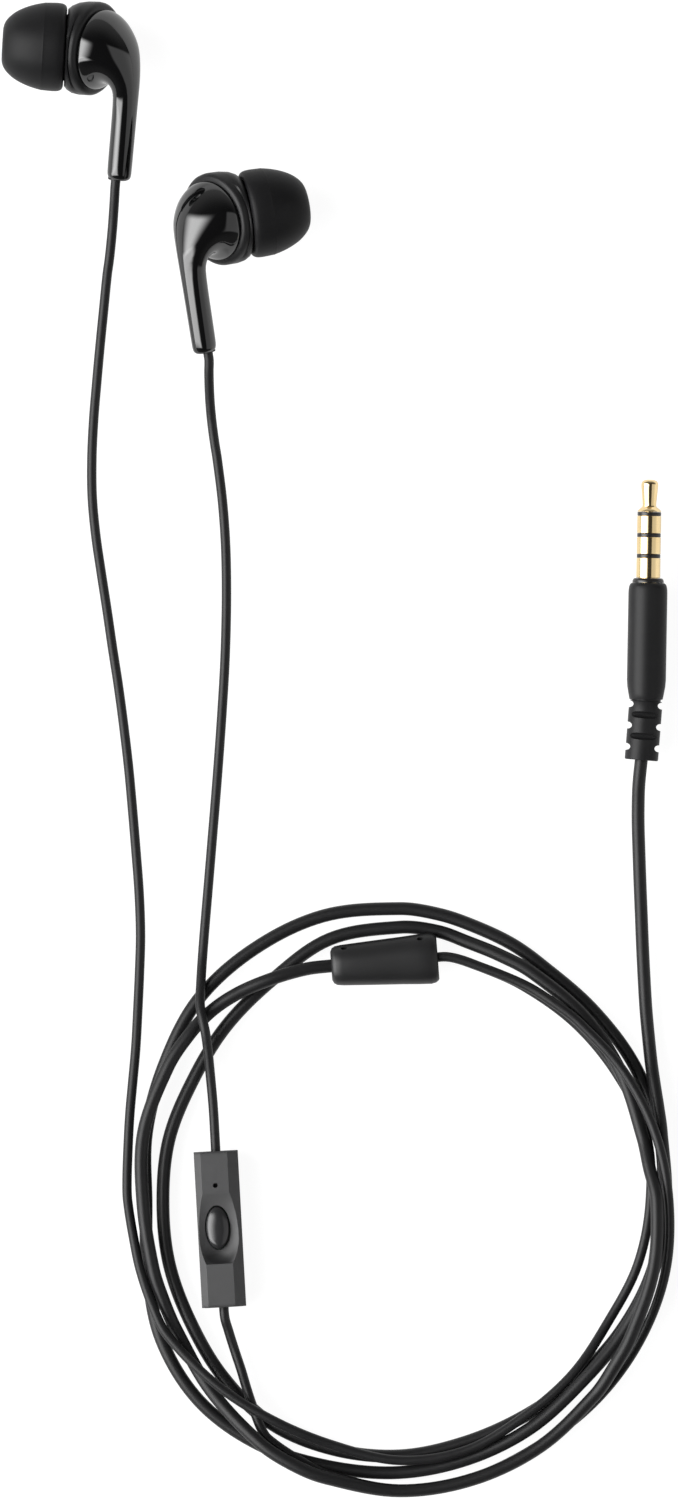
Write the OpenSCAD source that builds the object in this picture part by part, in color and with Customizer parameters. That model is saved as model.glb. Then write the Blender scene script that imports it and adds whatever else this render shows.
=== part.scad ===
// Wired earphones: two in-ear buds, an in-line remote, a splitter and a 3.5 mm plug, lying on z = 0.
// Units are millimetres. +Z points up from the surface, +Y runs from the coil towards the buds.

/* [Ear tip] */
// largest radius of the silicone dome
tip_r = 6.42; // [5.5:0.02:7.5]
// length of the ear tip along the nozzle
tip_len = 9.25; // [7:0.05:11]
// radius of the flat nose
nose_r = 2.4; // [1.9:0.1:3]
// radius of the mouth
mouth_r = 1.9; // [1.5:0.1:2.2]
// wall of the dome
tip_wall = 0.6; // [0.4:0.1:1]

/* [Front shell] */
// largest radius of the satin ring
ring_r = 6.85; // [6:0.05:8]
// tilt of the driver housing against the nozzle, degrees
driver_tilt = 32; // [0:1:45]
// radius of the nozzle's bead and base land
nozzle_r = 2.6; // [2:0.1:3]
// radius of the nozzle's waist
nozzle_waist_r = 2.25; // [1.9:0.05:2.6]
// length of the nozzle from the front face
nozzle_len = 7.1; // [5:0.1:8]
// radius of the sound bore
sound_bore_r = 1.7; // [1:0.1:2]

/* [Driver] */
// outer radius of the driver frame
driver_r = 4.95; // [4:0.05:6]
// radius of the magnet cup
magnet_r = 3.25; // [2.5:0.05:4]
// mean radius of the voice coil
coil_r = 2.1; // [1.5:0.05:3]

/* [Rear shell] */
// radius of the glossy shell at the seam
shell_r = 6; // [5:0.1:7]
// wall of the shell
shell_wall = 0.6; // [0.5:0.1:1.2]
// radius of the cord bore in the stem
stem_bore_r = 0.85; // [0.8:0.05:1.2]
// outer radius of the cord grommet
grommet_r = 1.15; // [1:0.05:1.5]
// length of the cord grommet
grommet_len = 3; // [1:0.1:5]

/* [Cords] */
// diameter of the main cord
cord_d = 1.9; // [1.4:0.1:3]
// diameter of each lead
lead_d = 1.4; // [1:0.1:2]

/* [Remote] */
// length of the remote
remote_len = 22.6; // [18:0.1:30]
// width of the remote
remote_w = 6.4; // [5:0.1:9]
// height of the remote
remote_h = 5.1; // [4:0.1:7]
// wall of the remote's shells
remote_wall = 0.8; // [0.6:0.1:1.2]
// depth of the thumb scoop
scoop_depth = 0.95; // [0.3:0.05:1.2]
// length of the thumb scoop
scoop_len = 10.3; // [8:0.1:13]
// half-width of the button
button_w = 1.7; // [1:0.05:2.2]
// half-length of the button
button_l = 3.1; // [2:0.05:4]
// travel of the button
button_travel = 0.3; // [0.2:0.05:0.5]
// radius of the microphone hole
mic_hole_r = 0.35; // [0.2:0.05:0.6]

/* [Splitter] */
// length of the splitter
splitter_len = 15.5; // [10:0.1:20]
// half-width of its broad end
splitter_hw = 3.7; // [2.5:0.1:5]
// half-width of its narrow end
splitter_nw = 2.9; // [2:0.1:4]
// half-height of the splitter
splitter_hh = 2.55; // [2:0.05:3.5]

/* [Plug] */
// radius of the plug's contacts
plug_r = 1.75; // [1.2:0.05:3.2]
// radius of the first contact where it is held in the barrel
plug_root_r = 1.45; // [1.4:0.05:1.6]
// length of the contacts in front of the collar
plug_contact_len = 14.3; // [12:0.1:16]
// radius of the barrel
barrel_r = 2.83; // [2.2:0.01:5]
// length of the barrel
barrel_len = 15.65; // [10:0.05:22]
// radius of the bend relief
relief_r = 2.43; // [1.8:0.01:3]
// length of the bend relief
relief_len = 8.75; // [5:0.05:14]

/* [Clearances] */
// seam between two shells
seam_gap = 0.05; // [0.02:0.01:0.2]
// running clearance of the ear tip's sleeve on the nozzle
tip_fit = 0.06; // [0.02:0.01:0.1]
// gap round the button
button_gap = 0.12; // [0.05:0.01:0.2]
// radial clearance of a cord in its hole
cord_fit = 0.05; // [0.02:0.01:0.1]
// radial clearance of pressed inner pieces
inner_fit = 0.05; // [0.02:0.01:0.1]

/* [Hidden] */
BIG = 60;
EPS = 0.01;
// puts the origin on the surface below the middle of the two buds
ORIGIN = [-0.11, 0.24, 0];

// ---- lofts and tubes ----
function flatten(l) = [for (a = l) for (b = a) b];
function unit(v) = v / norm(v);
// one ring round c, counter-clockwise about a x b
function ring_of(c, a, b, n) = [for (i = [0 : n - 1]) c + a * cos(360 * i / n) + b * sin(360 * i / n)];
module loft(rings) {
  n = len(rings[0]);
  m = len(rings);
  polyhedron(points = flatten(rings), faces = concat(
    [[for (i = [0 : n - 1]) i]],
    [for (j = [0 : m - 2]) for (i = [0 : n - 1]) for (k = [0, 1])
      let (a = j * n + i, b = j * n + (i + 1) % n, c = (j + 1) * n + (i + 1) % n, d = (j + 1) * n + i)
      k == 0 ? [a, d, c] : [a, c, b]],
    [[for (i = [0 : n - 1]) m * n - 1 - i]]), convexity = 6);
}
function path_dir(p, i) = unit(p[min(i + 1, len(p) - 1)] - p[max(i - 1, 0)]);
function tube_ring(p, t, r, n) =
  let (s = unit(cross(t, [0, 0, 1])), u = cross(s, t)) ring_of(p, r * u, r * s, n);
module tube(path, d, n) {
  loft([for (i = [0 : len(path) - 1]) tube_ring(path[i], path_dir(path, i), d / 2, n)]);
}

// ---- the ear bud, in its own frame: the nozzle points to -X from the front face at x = 0 ----
CT = cos(driver_tilt);
ST = sin(driver_tilt);
RING_C = [3.8, 0, -0.6];
SEAM_C = [4.73, 0, -0.02];
N_AX = [CT, 0, ST];
B_AX = [-ST, 0, CT];

module about_nozzle() rotate([0, -90, 0]) children();
module about_driver() translate(SEAM_C) rotate([0, 90 - driver_tilt, 0]) children();

// the dome's outside and inside, as shares of the way from the nose or the sleeve to the wall
DOME = [[0.985, 0.335], [0.955, 0.422], [0.905, 0.508], [0.836, 0.605], [0.741, 0.703], [0.622, 0.8],
  [0.485, 0.876], [0.336, 0.9405], [0.174, 0.982]];
HOLLOW = [[0, 0.703], [0.119, 0.751], [0.317, 0.762], [0.476, 0.73], [0.655, 0.654], [0.813, 0.551],
  [0.921, 0.454]];
SLEEVE_R = nozzle_r + 0.7;
INNER_R = tip_r - tip_wall;
tip_profile = concat(
  [[tip_r - 1.27, 0.15], [tip_r - 0.67, 0.15], [tip_r - 0.32, 0.32], [tip_r - 0.1, 0.65],
   [tip_r, 1.15], [tip_r, tip_len * 0.227]],
  [for (d = DOME) [nose_r + (tip_r - nose_r) * d[0], tip_len * d[1]]],
  [[nose_r, tip_len], [mouth_r + 0.15, tip_len], [mouth_r, tip_len - 0.15],
   [mouth_r, nozzle_len + 0.15], [nozzle_r + tip_fit, nozzle_len + 0.1],
   [nozzle_r + tip_fit, 1.35], [SLEEVE_R, 1.35]],
  [for (d = HOLLOW) [SLEEVE_R + (INNER_R - SLEEVE_R) * d[0], tip_len * d[1]]],
  [[INNER_R, tip_len * 0.324], [INNER_R, 1.3], [INNER_R - 0.14, 0.85], [INNER_R - 0.42, 0.62],
   [tip_r - 1.27, 0.55]]);
module ear_tip_shape() {
  color([0.07, 0.07, 0.08]) about_nozzle() rotate_extrude($fn = 72) polygon(tip_profile);
}

nozzle_profile = [
  [0, -1], [4.9, -1], [4.9, 0.02], [4.5, 0.38], [3.5, 0.85], [nozzle_r + 0.25, 1.12], [nozzle_r, 1.2],
  [nozzle_r, 1.9], [nozzle_waist_r, 2.25], [nozzle_waist_r, 5.85], [nozzle_r, 6.15], [nozzle_r, 6.65],
  [nozzle_r - 0.3, nozzle_len], [0, nozzle_len]];
// [tilt, centre x, centre z, radius along y, radius across]
ring_table = [
  [0, 0, -0.1, 5.62, 5.55], [5, 0.55, -0.2, 6.15, 5.7], [12, 1.45, -0.32, 6.6, 5.9],
  [22, 2.65, -0.48, ring_r - 0.03, 6.35], [driver_tilt, 3.8, -0.6, ring_r, ring_r - 0.1],
  [driver_tilt, 4.25, -0.32, ring_r - 0.05, ring_r - 0.13],
  [driver_tilt, 4.52, -0.15, ring_r - 0.25, ring_r - 0.3], [driver_tilt, 4.71, -0.033, 6.25, 6.22]];
function ring_section(t, n) =
  ring_of([t[1], 0, t[2]], [0, t[3], 0], [-sin(t[0]), 0, cos(t[0])] * t[4], n);
module front_shell_shape() {
  color([0.3, 0.3, 0.31]) difference() {
    union() {
      loft([for (t = ring_table) ring_section(t, 40)]);
      about_nozzle() rotate_extrude($fn = 64) polygon(nozzle_profile);
    }
    about_driver() translate([0, 0, -1.6]) cylinder(r = driver_r + inner_fit, h = 5, $fn = 64);
    about_driver() translate([0, 0, -2.1]) cylinder(r = 4.1, h = 2, $fn = 64);
    about_nozzle() translate([0, 0, -3.4]) cylinder(r = sound_bore_r, h = BIG, $fn = 48);
    about_nozzle() translate([0, 0, nozzle_len - 0.35]) cylinder(r = 2.0, h = 2, $fn = 48);
  }
}
module nozzle_mesh_shape() {
  color([0.55, 0.55, 0.57]) about_nozzle() translate([0, 0, nozzle_len - 0.33]) difference() {
    cylinder(r = 2.0 - inner_fit, h = 0.15, $fn = 48);
    for (x = [-2 : 2], y = [-2 : 2]) if (norm([x, y]) < 2.9)
      translate([x * 0.62 - 0.2, y * 0.62 - 0.2, -1]) cube([0.4, 0.4, 3]);
  }
}
module damper_shape() {
  color([0.2, 0.2, 0.22]) about_nozzle() translate([0, 0, 2])
    cylinder(r = sound_bore_r - inner_fit, h = 2, $fn = 48);
}
module driver_frame_shape() {
  color([0.45, 0.45, 0.47]) about_driver() rotate_extrude($fn = 64) polygon([
    [4.5, -1.55], [driver_r, -1.55], [driver_r, -0.05], [4.4, 0.05], [4.3, 1.0],
    [magnet_r + inner_fit, 1.0], [magnet_r + inner_fit, 0.6], [3.9, 0.55], [4.0, -0.98], [4.5, -1.0]]);
}
module diaphragm_shape() {
  color([0.75, 0.73, 0.68]) about_driver() rotate_extrude($fn = 64) polygon([
    [0, -1.58], [0.7, -1.55], [1.4, -1.42], [coil_r, -1.14], [2.7, -1.28], [3.25, -1.36],
    [3.8, -1.28], [4.1, -1.14], [4.42, -1.13], [4.42, -1.02], [4.05, -1.02], [3.75, -1.16],
    [3.25, -1.24], [2.75, -1.17], [coil_r + 0.08, -1.02], [coil_r - 0.08, -1.02], [1.4, -1.3],
    [0.7, -1.43], [0, -1.46]]);
}
module voice_coil_shape() {
  color([0.72, 0.42, 0.2]) about_driver() translate([0, 0, -0.99]) difference() {
    cylinder(r = coil_r + 0.12, h = 1.9, $fn = 48);
    translate([0, 0, -1]) cylinder(r = coil_r - 0.12, h = 4, $fn = 48);
  }
}
module magnet_shape() {
  color([0.6, 0.6, 0.62]) about_driver() rotate_extrude($fn = 64) polygon([
    [0, -0.3], [coil_r - 0.3, -0.3], [coil_r - 0.3, 1.3], [coil_r + 0.3, 1.3], [coil_r + 0.3, -0.1],
    [magnet_r, -0.1], [magnet_r, 1.7], [magnet_r - 0.2, 1.9], [0, 1.9]]);
}

// the shell's curved sections: [outer p, outer q, inner p, inner q, half-depth, lean in z],
// p along the driver's axis and q along Y, both from the seam's centre
shell_table = [
  [0.02, shell_r, 0.02, -shell_r, shell_r, 0], [0.95, 5.85, 0.5, -5.75, 5.95, 0],
  [1.9, 5.45, 0.95, -5.4, 5.75, 0], [2.9, 4.75, 1.35, -5.0, 5.45, 0], [3.8, 3.85, 1.7, -4.72, 5.05, 0],
  [4.65, 2.9, 2.05, -4.6, 4.6, 0], [5.4, 1.8, 2.4, -4.62, 4.1, 0], [6.0, 0.5, 2.7, -4.75, 3.55, 0],
  [6.45, -1.0, 2.95, -5.0, 3.0, 0], [6.78, -2.8, 3.12, -5.4, 2.5, -0.1],
  [6.9, -4.6, 3.25, -6.0, 2.15, -0.3], [6.88, -6.8, 3.28, -7.0, 1.92, -0.5],
  [6.68, -12, 3.1, -12, 1.82, -0.74], [6.48, -17.3, 2.9, -17.2, 1.76, -0.98],
  [6.44, -18.1, 2.93, -17.9, 1.72, -1.02], [6.3, -18.5, 3.06, -18.3, 1.55, -1.04],
  [6.0, -18.72, 3.35, -18.52, 1.25, -1.06], [5.2, -18.85, 4.15, -18.65, 0.5, -1.08]];
function shell_section(t, w, n) =
  let (o = [t[0], t[1]], i = [t[2], t[3]], c = (o + i) / 2, h = (o - i) / 2, a = h * (1 - w / norm(h)))
  ring_of(SEAM_C + N_AX * c[0] + [0, c[1], t[5]], N_AX * a[0] + [0, a[1], 0], B_AX * (t[4] - w), n);
STEM_END = [8.25, -18.6, 1.1];
module along_stem() translate(STEM_END) rotate([-87, 0, -1.8]) children();
module rear_shell_shape() {
  color([0.04, 0.04, 0.05]) difference() {
    loft([for (t = shell_table) shell_section(t, 0, 32)]);
    loft(concat([[for (v = shell_section(shell_table[0], shell_wall, 28)) v - N_AX]],
      [for (k = [0 : 10]) shell_section(shell_table[k], shell_wall, 28)]));
    along_stem() translate([0, 0, -2]) cylinder(r = grommet_r + inner_fit, h = grommet_len + 2, $fn = 40);
    along_stem() cylinder(r = stem_bore_r, h = 14, $fn = 40);
  }
}
module grommet_shape() {
  color([0.1, 0.1, 0.11]) along_stem() translate([0, 0, -0.1]) difference() {
    cylinder(r = grommet_r, h = grommet_len, $fn = 40);
    translate([0, 0, -1]) cylinder(r = lead_d / 2 + cord_fit, h = grommet_len + 2, $fn = 40);
  }
}

// ---- where the buds lie ----
module place_left() translate(ORIGIN + [-12.97, 18.41, tip_r]) rotate([0, 0, -3.3]) rotate([12, 0, 0])
  children();
module place_right() translate(ORIGIN + [12.89, -5.83, tip_r + 0.4]) rotate([0, 0, 9.6]) rotate([0, 9.5, 0])
  rotate([12, 0, 0]) mirror([1, 0, 0]) children();

module left_ear_tip() place_left() ear_tip_shape();
module left_front_shell() place_left() front_shell_shape();
module left_nozzle_mesh() place_left() nozzle_mesh_shape();
module left_damper() place_left() damper_shape();
module left_driver_frame() place_left() driver_frame_shape();
module left_diaphragm() place_left() diaphragm_shape();
module left_voice_coil() place_left() voice_coil_shape();
module left_magnet() place_left() magnet_shape();
module left_rear_shell() place_left() rear_shell_shape();
module left_grommet() place_left() grommet_shape();
module right_ear_tip() place_right() ear_tip_shape();
module right_front_shell() place_right() front_shell_shape();
module right_nozzle_mesh() place_right() nozzle_mesh_shape();
module right_damper() place_right() damper_shape();
module right_driver_frame() place_right() driver_frame_shape();
module right_diaphragm() place_right() diaphragm_shape();
module right_voice_coil() place_right() voice_coil_shape();
module right_magnet() place_right() magnet_shape();
module right_rear_shell() place_right() rear_shell_shape();
module right_grommet() place_right() grommet_shape();

// ---- the remote, in its own frame: the cord runs along Y, the button faces +Z ----
RZ = remote_h / 2;
FACE_X = -0.3;
module place_remote() translate(ORIGIN + [9.26, -152.61, 0]) rotate([0, 0, 3.14]) children();
module remote_section() {
  polygon([[0.9 - remote_w / 2, 0], [remote_w / 2 - 0.9, 0], [remote_w / 2, 1.1],
    [remote_w / 2, remote_h - 1.2], [remote_w / 2 - 1.54, remote_h], [0.94 - remote_w / 2, remote_h],
    [-remote_w / 2, remote_h - 0.95], [-remote_w / 2, 1.1]]);
}
module remote_body() {
  rotate([90, 0, 0]) translate([0, 0, -remote_len / 2]) linear_extrude(remote_len) remote_section();
}
module remote_cavity() {
  translate([-2.4, -10.4, remote_wall]) cube([4.8, 20.8, 3.5 - remote_wall]);
}
module remote_cord_holes() {
  for (s = [-1, 1]) translate([0, s * 11, RZ]) rotate([90, 0, 0])
    cylinder(r = lead_d / 2 + cord_fit, h = 4, center = true, $fn = 40);
}
// the scoop: a shallow round hollow with a sharp lower end
SCOOP_R = 20;
module scoop() {
  intersection() {
    translate([0, -2.2, remote_h - scoop_depth + SCOOP_R]) rotate([0, 90, 0])
      cylinder(r = SCOOP_R, h = 20, center = true, $fn = 160);
    translate([-10, -5, 0]) cube([20, scoop_len, 10]);
  }
}
module oval(w, l, h) {
  translate([FACE_X, 0.26, 0]) linear_extrude(h)
    polygon([for (i = [0 : 55]) [w * cos(i * 360 / 56), l * sin(i * 360 / 56)]]);
}
module remote_front() {
  color([0.16, 0.16, 0.17]) place_remote() difference() {
    intersection() {
      remote_body();
      translate([-10, -20, RZ + seam_gap / 2]) cube([20, 40, 20]);
    }
    remote_cavity();
    remote_cord_holes();
    scoop();
    oval(button_w + button_gap, button_l + button_gap, 20);
    translate([FACE_X, 6.38, 2]) cylinder(r = mic_hole_r, h = 20, $fn = 32);
  }
}
module remote_back() {
  color([0.16, 0.16, 0.17]) place_remote() difference() {
    union() {
      difference() {
        intersection() {
          remote_body();
          translate([-10, -20, -1]) cube([20, 40, RZ - seam_gap / 2 + 1]);
        }
        remote_cavity();
      }
      for (y = [-9.2, -4.6, 4.6, 9.2]) translate([-2.6, y - 0.3, remote_wall - 0.2])
        cube([5.2, 0.6, 0.58]);
    }
    remote_cord_holes();
  }
}
module remote_button() {
  color([0.05, 0.05, 0.06]) place_remote() {
    difference() {
      union() {
        oval(button_w, button_l, remote_h - 0.72);
        oval(button_w + 0.3, button_l + 0.3, 3.42);
      }
      translate([-10, -10, -10]) cube([20, 20, 13.1]);
      translate([FACE_X, 0.26, remote_h - 0.72]) rotate([90, 0, 0])
        cylinder(r = 0.14, h = 20, center = true, $fn = 24);
    }
  }
}
module remote_switch() {
  color([0.7, 0.7, 0.7]) place_remote() {
    translate([FACE_X - 1.5, 0.26 - 1.5, 2.01]) cube([3, 3, 0.55]);
    translate([FACE_X, 0.26, 2.55]) cylinder(r = 0.75, h = 0.22, $fn = 40);
  }
}
module remote_board() {
  color([0.05, 0.25, 0.12]) place_remote() difference() {
    translate([-2.2, -9.6, 1.2]) cube([4.4, 19.2, 0.8]);
    for (s = [-1, 1], x = [-1.4, 0, 1.4]) translate([x, s * 8.8, 0]) cylinder(r = 0.3, h = 5, $fn = 24);
  }
}
module microphone() {
  color([0.7, 0.7, 0.72]) place_remote() difference() {
    translate([FACE_X, 6.38, 2.01]) cylinder(r = 1.4, h = 0.84, $fn = 48);
    translate([FACE_X, 6.38, 2.6]) cylinder(r = 0.3, h = 2, $fn = 24);
  }
}
module mic_gasket() {
  color([0.09, 0.09, 0.1]) place_remote() difference() {
    translate([FACE_X, 6.38, 2.86]) cylinder(r = 1.3, h = 0.6, $fn = 48);
    translate([FACE_X, 6.38, 2]) cylinder(r = 0.5, h = 3, $fn = 32);
  }
}

// ---- the splitter, in its own frame: cord at -X, leads at +X ----
SZ = splitter_hh + 0.05;
HL = splitter_len / 2;
// heights of the two leads in it
LOW_Z = 1.75;
HIGH_Z = 3.4;
module place_splitter() translate(ORIGIN + [33.1, -113.91, 0]) rotate([0, 0, 4.4]) children();
// [x, half-width, half-height]
splitter_table = [
  [-HL, splitter_nw - 0.85, splitter_hh - 0.75], [-HL + 0.7, splitter_nw - 0.08, splitter_hh - 0.12],
  [-HL + 1.6, splitter_nw + 0.05, splitter_hh], [-2, splitter_nw + 0.3, splitter_hh],
  [2.5, splitter_hw - 0.25, splitter_hh], [HL - 1.2, splitter_hw, splitter_hh],
  [HL - 0.5, splitter_hw - 0.15, splitter_hh - 0.15], [HL, splitter_hw - 0.6, splitter_hh - 0.65]];
function squarish(x, hy, hz, n) = [for (i = [0 : n - 1])
  let (a = 360 * i / n, k = pow(pow(abs(cos(a)), 2.1) + pow(abs(sin(a)), 2.1), -1 / 2.1))
  [x, hy * k * cos(a), SZ + hz * k * sin(a)]];
module splitter_body() {
  difference() {
    loft([for (t = splitter_table) squarish(t[0], t[1], t[2], 36)]);
    translate([-3.2, -1.9, SZ - 1.5]) cube([6.4, 3.8, 3.0]);
    translate([-HL, 0, SZ]) rotate([0, 90, 0])
      cylinder(r = cord_d / 2 + cord_fit, h = 12, center = true, $fn = 48);
    for (z = [LOW_Z, HIGH_Z]) translate([HL, 0, z]) rotate([0, 90, 0])
      cylinder(r = lead_d / 2 + cord_fit, h = 12, center = true, $fn = 40);
    for (p = [[-5.7, 2.75], [5.37, 3.2]]) translate([p[0], p[1], SZ + 1.7]) rotate([-58, 0, 0])
      cylinder(r = 0.45, h = 1.4, center = true, $fn = 32);
  }
}
module splitter_top() {
  color([0.13, 0.13, 0.14]) place_splitter() intersection() {
    splitter_body();
    translate([-20, -20, SZ + seam_gap / 2]) cube([40, 40, 20]);
  }
}
module splitter_bottom() {
  color([0.13, 0.13, 0.14]) place_splitter() intersection() {
    splitter_body();
    translate([-20, -20, SZ - seam_gap / 2 - 20]) cube([40, 40, 20]);
  }
}
module splitter_crimp() {
  color([0.6, 0.6, 0.62]) place_splitter() translate([-2.6, 0, SZ - 0.05]) rotate([0, 90, 0])
    difference() {
      cylinder(r = 1.42, h = 5.2, $fn = 48);
      translate([0, 0, -1]) cylinder(r = 1.05, h = 8, $fn = 48);
    }
}

// ---- the plug, in its own frame: z along its axis from the barrel's cord end to the tip ----
COLLAR_S = barrel_len;
SLEEVE_S = barrel_len + 0.68;
module place_plug() translate(ORIGIN + [71.0, -74.67, barrel_r + 0.02]) rotate([0, 0, -1.0])
  rotate([-90, 0, 0]) children();
module turned(profile, n) rotate_extrude($fn = n) polygon(profile);
B1 = SLEEVE_S + plug_contact_len * 0.206;
B2 = SLEEVE_S + plug_contact_len * 0.417;
B3 = SLEEVE_S + plug_contact_len * 0.632;
BAND = 0.54;
TIP_S = SLEEVE_S + plug_contact_len;
module plug_tip() {
  color([0.85, 0.68, 0.32]) place_plug() turned([
    [0, 12], [0.5, 12], [0.5, B3 + BAND + 0.02], [plug_r, B3 + BAND + 0.02], [plug_r - 0.15, B3 + 0.85],
    [1.02, B3 + 1.3], [1.06, B3 + 2.0], [1.24, TIP_S - 0.95], [1.25, TIP_S - 0.7],
    [1.12, TIP_S - 0.36], [0.8, TIP_S - 0.1], [0.35, TIP_S], [0, TIP_S]], 64);
}
module plug_insulator() {
  color([0.06, 0.06, 0.06]) place_plug() difference() {
    union() {
      translate([0, 0, 12.4]) cylinder(r = 1.15, h = B3 + BAND - 12.4, $fn = 56);
      for (b = [B1, B2, B3]) translate([0, 0, b]) cylinder(r = plug_r, h = BAND, $fn = 64);
    }
    translate([0, 0, 5]) cylinder(r = 0.5 + inner_fit, h = 40, $fn = 40);
  }
}
module contact_ring(a, b) {
  difference() {
    translate([0, 0, a]) cylinder(r = plug_r, h = b - a, $fn = 64);
    translate([0, 0, a - 1]) cylinder(r = 1.15 + inner_fit, h = b - a + 2, $fn = 56);
  }
}
module plug_ring_1() {
  color([0.85, 0.68, 0.32]) place_plug() contact_ring(B2 + BAND + 0.02, B3 - 0.02);
}
module plug_ring_2() {
  color([0.85, 0.68, 0.32]) place_plug() contact_ring(B1 + BAND + 0.02, B2 - 0.02);
}
module plug_sleeve() {
  color([0.85, 0.68, 0.32]) place_plug() difference() {
    turned([[0, 13.4], [plug_root_r, 13.4], [plug_root_r, SLEEVE_S + 0.05],
      [plug_r, SLEEVE_S + 0.05], [plug_r, B1 - 0.02], [0, B1 - 0.02]], 64);
    translate([0, 0, 12]) cylinder(r = 1.15 + inner_fit, h = 20, $fn = 56);
  }
}
module plug_collar() {
  color([0.05, 0.05, 0.05]) place_plug() difference() {
    turned([[0, COLLAR_S + 0.02], [barrel_r - 0.55, COLLAR_S + 0.02], [barrel_r - 0.6, SLEEVE_S - 0.25],
      [barrel_r - 0.85, SLEEVE_S], [0, SLEEVE_S]], 64);
    translate([0, 0, 10]) cylinder(r = plug_root_r + inner_fit, h = 10, $fn = 56);
  }
}
module plug_core() {
  color([0.5, 0.5, 0.5]) place_plug() difference() {
    translate([0, 0, 3]) cylinder(r = plug_root_r, h = 9.3, $fn = 48);
    translate([0, 0, 11.9]) cylinder(r = 0.5 + inner_fit, h = 2, $fn = 40);
    translate([0, 0, 2]) cylinder(r = cord_d / 2 + cord_fit, h = 3, $fn = 40);
  }
}
module plug_barrel() {
  color([0.13, 0.13, 0.14]) place_plug() difference() {
    turned([[0, -1.25], [relief_r, -1.25], [barrel_r - 0.12, 0.1], [barrel_r, 1.2],
      [barrel_r, barrel_len - 1.1], [barrel_r - 0.06, barrel_len - 0.45],
      [barrel_r - 0.4, barrel_len], [0, barrel_len]], 72);
    translate([0, 0, 2.95]) cylinder(r = plug_root_r + inner_fit, h = 20, $fn = 56);
    translate([0, 0, -3]) cylinder(r = cord_d / 2 + cord_fit, h = 10, $fn = 48);
  }
}
module about_relief() place_plug() translate([0, 0, -1.3]) rotate([0, 3.5, 0]) children();
module plug_relief() {
  color([0.13, 0.13, 0.14]) about_relief() difference() {
    turned([[0, -relief_len], [relief_r - 0.15, -relief_len], [relief_r, -relief_len + 0.15],
      [relief_r, -0.35], [relief_r - 0.18, -0.14], [0, -0.14]], 64);
    translate([0, 0, -20]) cylinder(r = cord_d / 2 + cord_fit, h = 40, $fn = 48);
    for (z = [-0.72, -3.82, -6.92], s = [-1, 1]) translate([s * (relief_r - 0.2), 0, z])
      rotate([90, 0, 0]) cylinder(r = 0.52, h = 20, center = true, $fn = 32);
    for (z = [-2.2, -5.3], s = [-1, 1]) translate([0, s * (relief_r - 0.15), z])
      rotate([0, 90, 0]) cylinder(r = 0.5, h = 20, center = true, $fn = 32);
  }
}

// ---- free stretches, along points chosen by hand ----
left_lead_path = [
  [-5.66, 0.99, 4.02], [-5.79, -0.46, 3.63], [-5.92, -1.85, 3.25],
  [-6.01, -3.45, 2.7], [-6.13, -5.2, 1.98], [-6.28, -7.2, 1.3], [-6.48, -9.4, 0.88],
  [-6.76, -12, 0.75], [-7.1, -14.5, 0.75], [-7.6, -19.5, 0.75],
  [-8.1, -24.5, 0.75], [-8.6, -30, 0.75], [-9.05, -35.5, 0.75], [-9.3, -41, 0.75],
  [-9.25, -46.5, 0.75], [-8.75, -52, 0.75], [-7.95, -57.5, 0.75], [-7.1, -63, 0.75],
  [-6.3, -68.5, 0.75], [-5.45, -74, 0.75], [-4.65, -80, 0.75], [-3.95, -86, 0.75],
  [-3.4, -92, 0.75], [-2.9, -98, 0.75], [-2.45, -104, 0.75], [-2.25, -110, 0.75],
  [-2.4, -115.5, 0.75], [-2.65, -121, 0.75], [-2.95, -126.5, 0.75], [-3.4, -131.5, 0.75],
  [-3.8, -136, 0.75], [-4.05, -140.88, 0.75]];
right_lead_path = [
  [7.26, -24, 5.82], [7.49, -25.43, 5.43], [7.7, -26.81, 5.05],
  [7.68, -28.4, 4.42], [7.72, -30.5, 3.45], [7.84, -33, 2.3], [8.1, -35.8, 1.3], [8.5, -38.8, 0.85],
  [8.85, -41, 0.75],
  [9.6, -47, 0.75], [10.05, -53, 0.75], [10.2, -59, 0.75], [10.15, -65, 0.75], [9.95, -71, 0.75],
  [9.6, -77, 0.75], [9.15, -83.5, 0.75], [8.65, -90, 0.75], [8.15, -96, 0.75], [7.65, -102, 0.75],
  [7.1, -108.5, 0.75], [6.75, -113, 1.2], [6.5, -117, 2.6], [6.4, -120, 3.9], [6.7, -122, 4.65],
  [7.15, -124, 4.75], [7.5, -126.5, 3.9], [7.9, -130.5, 2.8], [8.3, -135, 2.55],
  [8.58, -139.9, 2.55], [8.72, -142.7, 2.55]];
plug_cord_path = [
  [72.69, -134.93, 3.13], [72.2, -131.8, 2.6], [71.75, -128.6, 1.6], [71.4, -125.3, 1.0],
  [71.0, -121, 1.0], [70.75, -117, 1.0], [70.5, -112, 1.0], [70.3, -107, 1.0], [70.1, -102, 1.0],
  [69.95, -97.5, 1.0], [69.85, -94, 1.15], [69.85, -91, 1.7], [69.92, -88.5, 2.4],
  [70.08, -86.6, 2.85], [70.24, -85.1, 2.85], [70.31, -84.25, 2.85]];

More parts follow.
